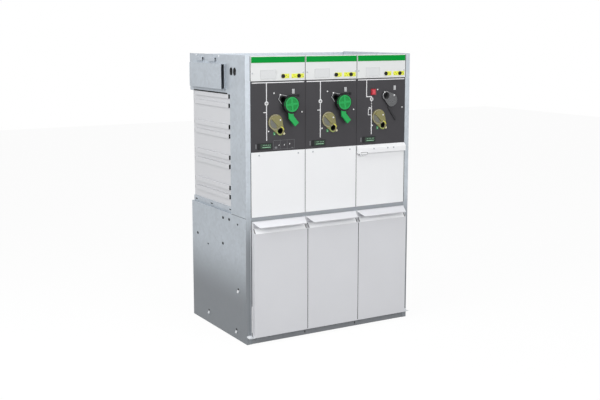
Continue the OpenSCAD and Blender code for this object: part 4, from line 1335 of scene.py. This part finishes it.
class RMU_OT_guards(bpy.types.Operator):
    """Round the handle guards and lever sockets, paint highlights on the edges of their tails, and add studs
    and rims
    """

    bl_idname = "rmu.guards"
    bl_label = "Handle guards"

    def execute(self, context):
        for n in UNITS:
            dress(f"lever_guard_{n}", 0.8 * MM)
            dress(f"earth_socket_{n}", 0.8 * MM)
            self.tail_edge(n)
        panel = f"mimic_panel_{BREAKER}"
        collar = ring_at("guard_collar", on_face(panel, *LEVER_SOCKET, GUARD_FACE), 14, 19.5, 0.9)
        soften(collar, 0.3 * MM)
        seat(collar, "cabinet", "black_plastic")
        rim = ring_at("guard_rim", on_face(panel, *HANDLE_AXIS, GUARD_FACE), 34.8, 36.4, 0.8, -100, 160)
        seat(rim, "cabinet", "clear_plastic")
        # The white studs on the clear plates are partly a painted highlight.
        places = [seated(panel, x, z, GUARD_FACE) for x, z in ((245.5, 272), (179, 290))]
        places += [seated(f"mimic_panel_{n}", 174.5, 297, TAIL_FACE) for n in RING_UNITS]
        seat(repeat(stud(), "guard_studs", places), "cabinet", "clear_plastic", "white_plastic")
        return {"FINISHED"}

    def tail_edge(self, n):
        """Bright edge of the plate round the tail's socket: a painted highlight."""
        name, panel = f"tail_edge_{n}", f"mimic_panel_{n}"
        if n in RING_UNITS:
            corners = ((214, 290), (174.5, 297.8), (163.5, 274.2), (183, 249))
            edge = ribbon(name, [on_face(panel, x, z, TAIL_FACE) for x, z in corners], 2.2 * MM, 1.2 * MM)
        else:
            edge = ring_at(name, on_face(panel, *LEVER_SOCKET, GUARD_FACE), 21.6, 23.6, 1, 60, 165)
        soften(edge, 0.3 * MM)
        seat(edge, "cabinet", "clear_plastic", "clear_edge")


class RMU_OT_selectors(bpy.types.Operator):
    """Round the yellow selectors, and add a pocket, a white dome, painted highlights on the rim and one
    flank, and a painted green reflection on the other
    """

    bl_idname = "rmu.selectors"
    bl_label = "Earthing selectors"

    def execute(self, context):
        disc, tail = (145.2, 154), (173.2, 107)
        # The rim and the bright flank are painted highlights, and the lime flank is a painted green
        # reflection of the tab beside it.
        arcs = (
            ("pocket", disc, (4, 33), (152, 130), "selector_pocket"),
            ("rim", disc, (37, 40.8), (70, 250), "pale_yellow_edge"),
            ("bright_flank", tail, (18.5, 23.6), (12, 75), "yellow_edge"),
            ("lime_flank", tail, (18.5, 22.6), (150, 140), "lime_edge"))
        for n in UNITS:
            panel, body = f"mimic_panel_{n}", f"selector_{n}"
            dress(f"earth_selector_{n}", context.scene.rmu_sizes.moulded_radius, 3)
            for name, spot, radii, span, key in arcs:
                centre = on_face(panel, *spot, SELECTOR_FACE)
                arc = ring_at(f"selector_{name}_{n}", centre, *radii, 1, *span)
                soften(arc, 0.3 * MM)
                seat(arc, body, "yellow_plastic", key)
            # The white dome is partly a painted highlight.
            place = seated(panel, 173.5, 164, SELECTOR_FACE)
            seat(repeat(stud(), f"selector_stud_{n}", [place]), body, "yellow_plastic", "white_plastic")
        return {"FINISHED"}


class RMU_OT_indicators(bpy.types.Operator):
    """Finish the voltage indicators with a tinted window and their lamps, and the trip button"""

    bl_idname = "rmu.indicators"
    bl_label = "Indicators"

    def execute(self, context):
        dress("voltage_indicators", context.scene.rmu_sizes.moulded_radius, 3)
        size = (66 * MM, 27 * MM, 0.6 * MM)
        # Five short lamps above a long one: start, end, height on the panel and width
        rows = [(x, x + 4, 35, 2.4) for x in range(70, 120, 10)] + [(66, 114, 24, 2.6)]
        windows, lamps = [], []
        for n in UNITS:
            panel = f"mimic_panel_{n}"
            middle = on_face(panel, 88, 29.5, WINDOW_FACE)
            windows.append(sunk_plate("window", middle, size, 1.5 * MM, 0.3 * MM))
            for start, end, z, width in rows:
                path = [on_face(panel, x, z, LAMP_FACE) for x in (start, end)]
                lamps.append(ribbon("lamp", path, width * MM, 0.5 * MM))
        seat(join("indicator_windows", windows), "cabinet", "black_plastic", "window")
        seat(join("indicator_lamps", lamps), "cabinet", "green_plastic", "lens")
        self.button()
        return {"FINISHED"}

    def button(self):
        """Trip button with a sunk face and a pale pad in it that is a painted highlight."""
        button = open_copy("trip_button")
        pick_front("trip_button")
        bpy.ops.mesh.inset(thickness=5 * MM, depth=-1 * MM)
        stand_in(button, "trip_button", 2 * MM, 3)
        low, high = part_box("trip_button")
        centre = Vector(((low.x + high.x) / 2, low.y + 1 * MM, (low.z + high.z) / 2))
        # The pale pad is a painted highlight on the button's face.
        pad = sunk_plate("trip_button_pad", centre, (17 * MM, 22 * MM, 1.6 * MM), 2 * MM, -0.3 * MM)
        soften(pad, 0.14 * MM)
        seat(pad, "trip_button", "red_plastic", "red_highlight_pad")


class RMU_OT_flags(bpy.types.Operator):
    """Ring the position indicators in white and give each a bar that turns with it"""

    bl_idname = "rmu.flags"
    bl_label = "Position indicators"

    def execute(self, context):
        ink, rings = context.scene.rmu_sizes.ink_t / MM, []
        for n in UNITS:
            node, body = f"position_flag_{n}", f"flag_{n}"
            dress(node, 0.25 * MM)
            low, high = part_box(node)
            hub = Vector(((low.x + high.x) / 2, low.y, (low.z + high.z) / 2))
            on_print = Vector((hub.x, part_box(f"mimic_panel_{n}")[0].y, hub.z))
            rings.append(ring_at("flag_ring", on_print, 7.6, 11, ink))
            seat(ring_at(f"flag_hub_{n}", hub, 0.6, 5.2, 0.2), body, "black_plastic", "mimic_paint")
            path = [hub + Vector((0, -0.2, z)) * MM for z in (5, -5)]
            seat(ribbon(f"flag_bar_{n}", path, 2 * MM, 0.2 * MM), body, "white_plastic", "white_ink")
        seat(join("flag_rings", rings), "cabinet", "white_plastic", "white_ink")
        return {"FINISHED"}


class RMU_OT_fasteners(bpy.types.Operator):
    """Screw the covers, visor and rear panels on, and rivet the side panels"""

    bl_idname = "rmu.fasteners"
    bl_label = "Fasteners"

    def execute(self, context):
        sizes = context.scene.rmu_sizes
        screw = headed("screw", sizes.screw_d, 2.4 * MM, 3.4 * MM)
        screws = repeat(screw, "cover_screws", self.front_screws() + self.rear_screws())
        seat(screws, "cabinet", "drive_steel")
        rivet = headed("rivet", 1.5 * sizes.rivet_d, 2.4 * MM, 2.2 * MM)
        places = on_both_sides(((600, 1531), (306, 1530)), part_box("mech_side_left")[0].x)
        seat(repeat(rivet, "side_rivets", places), "cabinet", "drive_steel", "bright_zinc")
        return {"FINISHED"}

    def front_screws(self):
        """Places of the screws in the headers, the middle covers, the visor and the headers' tops."""
        places = []
        for n in UNITS:
            places += [seated(f"header_cover_{n}", x, 41) for x in (11, 318)]
            places += [seated(f"mid_cover_{n}", x, 328) for x in (48, 286) if n in RING_UNITS]
        places += [seated("mid_cover_3", x, 323, 16) for x in (108, 202, 243)]
        for n in UNITS:
            low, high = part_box(f"header_cover_{n}")
            places.append(Matrix.Translation((low.x + 212 * MM, low.y + 9 * MM, high.z)) @ UP)
        return places

    def rear_screws(self):
        """Places of the screws in the rear panels, in even rows and columns."""
        border, places = 14 * MM, []
        for node, columns, rows in (("upper_rear_panel", 5, 2), ("lower_rear_panel", 5, 3)):
            low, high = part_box(node)
            step_x = (high.x - low.x - 2 * border) / (columns - 1)
            step_z = (high.z - low.z - 2 * border) / (rows - 1)
            for x in [low.x + border + i * step_x for i in range(columns)]:
                for z in [low.z + border + j * step_z for j in range(rows)]:
                    places.append(Matrix.Translation((x, high.y, z)) @ REAR)
        return places


class RMU_OT_inner_works(bpy.types.Operator):
    """Merge the vacuum interrupters' mesh, and give the pieces left as they are the finish of their slot"""

    bl_idname = "rmu.inner_works"
    bl_label = "Inner works"

    def execute(self, context):
        dress("vacuum_bottles", None)
        for node, piece in frame["nodes"].items():
            if not piece.hide_render:
                piece.data.materials.clear()
                piece.data.materials.append(finish(SLOT_OF[node]))
        return {"FINISHED"}


class RMU_OT_stage(bpy.types.Operator):
    """Set up the floor, the room, the softboxes and the camera"""

    bl_idname = "rmu.stage"
    bl_label = "Studio"

    def execute(self, context):
        stage = context.scene.rmu_stage
        context.scene.view_settings.view_transform = "Standard"
        self.floor()
        self.room(stage.sky)
        self.softbox("Front softbox", stage.front_power, (0.6, -4.4, 2.3), (0, -0.3, 0.85), 3.2, 2.2)
        self.softbox("Side softbox", stage.side_power, (-2.7, -0.6, 2.5), (-0.5, 0.0, 1.0), 1.8, 1.8)
        self.softbox("Top softbox", stage.top_power, (0, -0.8, 4.0), (0, -0.4, 1.0), 2.6, 2.0)
        level = math.cos(stage.pitch)
        forward = Vector((math.sin(stage.yaw) * level, math.cos(stage.yaw) * level, -math.sin(stage.pitch)))
        only(None)
        bpy.ops.object.camera_add(location=stage.eye, rotation=forward.to_track_quat("-Z", "Y").to_euler())
        camera = context.object
        camera.name = "Camera"
        camera.data.sensor_width = 36
        camera.data.lens = stage.lens
        camera.data.shift_y = stage.shift
        context.scene.camera = camera
        return {"FINISHED"}

    def seen(self, tree):
        """1 where the camera, a reflection or a clear piece looks straight at a surface."""
        rays = add(tree, "ShaderNodeLightPath").outputs
        direct = add(tree, "ShaderNodeMath", {0: rays["Is Camera Ray"], 1: rays["Is Glossy Ray"]},
                     operation="MAXIMUM")
        return add(tree, "ShaderNodeMath", {0: direct.outputs[0], 1: rays["Is Transmission Ray"]},
                   operation="MAXIMUM").outputs[0]

    def floor(self):
        """Pale floor that looks white and keeps a faint shadow."""
        floor = start_piece("studio_floor", "plane", size=24)
        bpy.ops.mesh.subdivide(number_cuts=3)
        only(floor)
        material = bpy.data.materials.new("Matt studio floor")
        material.use_nodes = True
        tree = material.node_tree
        tree.nodes.clear()
        place = add(tree, "ShaderNodeTexCoord").outputs["Object"]
        mottle = add(tree, "ShaderNodeTexNoise", {"Vector": place, "Scale": 4, "Detail": 2})
        dark, light = (*linear("#b6b6b6"), 1), (*linear("#bcbcbc"), 1)
        tone = add(tree, "ShaderNodeMix", {0: mottle.outputs["Fac"], 6: dark, 7: light}, data_type="RGBA")
        seen = self.seen(tree)
        shown = add(tree, "ShaderNodeMix", {0: seen, 6: tone.outputs[2], 7: (1, 1, 1, 1)}, data_type="RGBA")
        matt = add(tree, "ShaderNodeBsdfDiffuse", {"Color": shown.outputs[2]})
        white = add(tree, "ShaderNodeEmission", {"Strength": 1.0})
        share = add(tree, "ShaderNodeMath", {0: seen, 1: 0.95}, operation="MULTIPLY")
        mix = add(tree, "ShaderNodeMixShader", {0: share.outputs[0], 1: matt.outputs[0], 2: white.outputs[0]})
        add(tree, "ShaderNodeOutputMaterial", {"Surface": mix.outputs[0]})
        floor.data.materials.append(material)

    def room(self, strength):
        """Even light of a white room."""
        world = bpy.data.worlds.new("White room")
        bpy.context.scene.world = world
        world.use_nodes = True
        tree = world.node_tree
        tree.nodes.clear()
        light = add(tree, "ShaderNodeBackground", {"Color": (1, 1, 1, 1), "Strength": strength})
        white = add(tree, "ShaderNodeBackground", {"Color": (1, 1, 1, 1), "Strength": 1.0})
        mix = add(tree, "ShaderNodeMixShader", {0: self.seen(tree), 1: light.outputs[0], 2: white.outputs[0]})
        add(tree, "ShaderNodeOutputWorld", {"Surface": mix.outputs[0]})

    def softbox(self, name, power, place, target, width, height):
        """Rectangular softbox that looks at a point."""
        only(None)
        turn = (Vector(target) - Vector(place)).to_track_quat("-Z", "Y").to_euler()
        bpy.ops.object.light_add(type="AREA", location=place, rotation=turn)
        lamp = bpy.context.object
        lamp.name = name
        lamp.data.shape = "RECTANGLE"
        lamp.data.size, lamp.data.size_y = width, height
        lamp.data.energy = power


OPERATORS = (
    RMU_OT_cabinet, RMU_OT_tank, RMU_OT_side_trim, RMU_OT_front_trim, RMU_OT_grommets, RMU_OT_covers,
    RMU_OT_doors, RMU_OT_header_trim, RMU_OT_mimic_panels, RMU_OT_printed_lines, RMU_OT_panel_tags,
    RMU_OT_handles, RMU_OT_guards, RMU_OT_selectors, RMU_OT_indicators, RMU_OT_flags, RMU_OT_fasteners,
    RMU_OT_inner_works, RMU_OT_stage,
)


class VIEW3D_PT_ring_main_unit(bpy.types.Panel):
    """Sidebar panel that lists the steps of dressing the unit."""

    bl_label = "Ring Main Unit"
    bl_space_type = "VIEW_3D"
    bl_region_type = "UI"
    bl_category = "Switchgear"

    def draw(self, context):
        for group in (context.scene.rmu_colours, context.scene.rmu_sizes, context.scene.rmu_stage):
            column = self.layout.column()
            for name in group.__annotations__:
                column.prop(group, name)
        for operator in OPERATORS:
            self.layout.operator(operator.bl_idname)


CLASSES = (UnitColours, UnitSizes, UnitStage, *OPERATORS, VIEW3D_PT_ring_main_unit)


def register():
    for cls in CLASSES:
        bpy.utils.register_class(cls)
    bpy.types.Scene.rmu_colours = bpy.props.PointerProperty(type=UnitColours)
    bpy.types.Scene.rmu_sizes = bpy.props.PointerProperty(type=UnitSizes)
    bpy.types.Scene.rmu_stage = bpy.props.PointerProperty(type=UnitStage)


def unregister():
    del bpy.types.Scene.rmu_stage, bpy.types.Scene.rmu_sizes, bpy.types.Scene.rmu_colours
    for cls in reversed(CLASSES):
        bpy.utils.unregister_class(cls)


def main():
    """Dress the unit step by step."""
    register()
    for operator in OPERATORS:
        getattr(bpy.ops.rmu, operator.bl_idname.split(".")[1])()
    only(None)


if __name__ == "__main__":
    main()
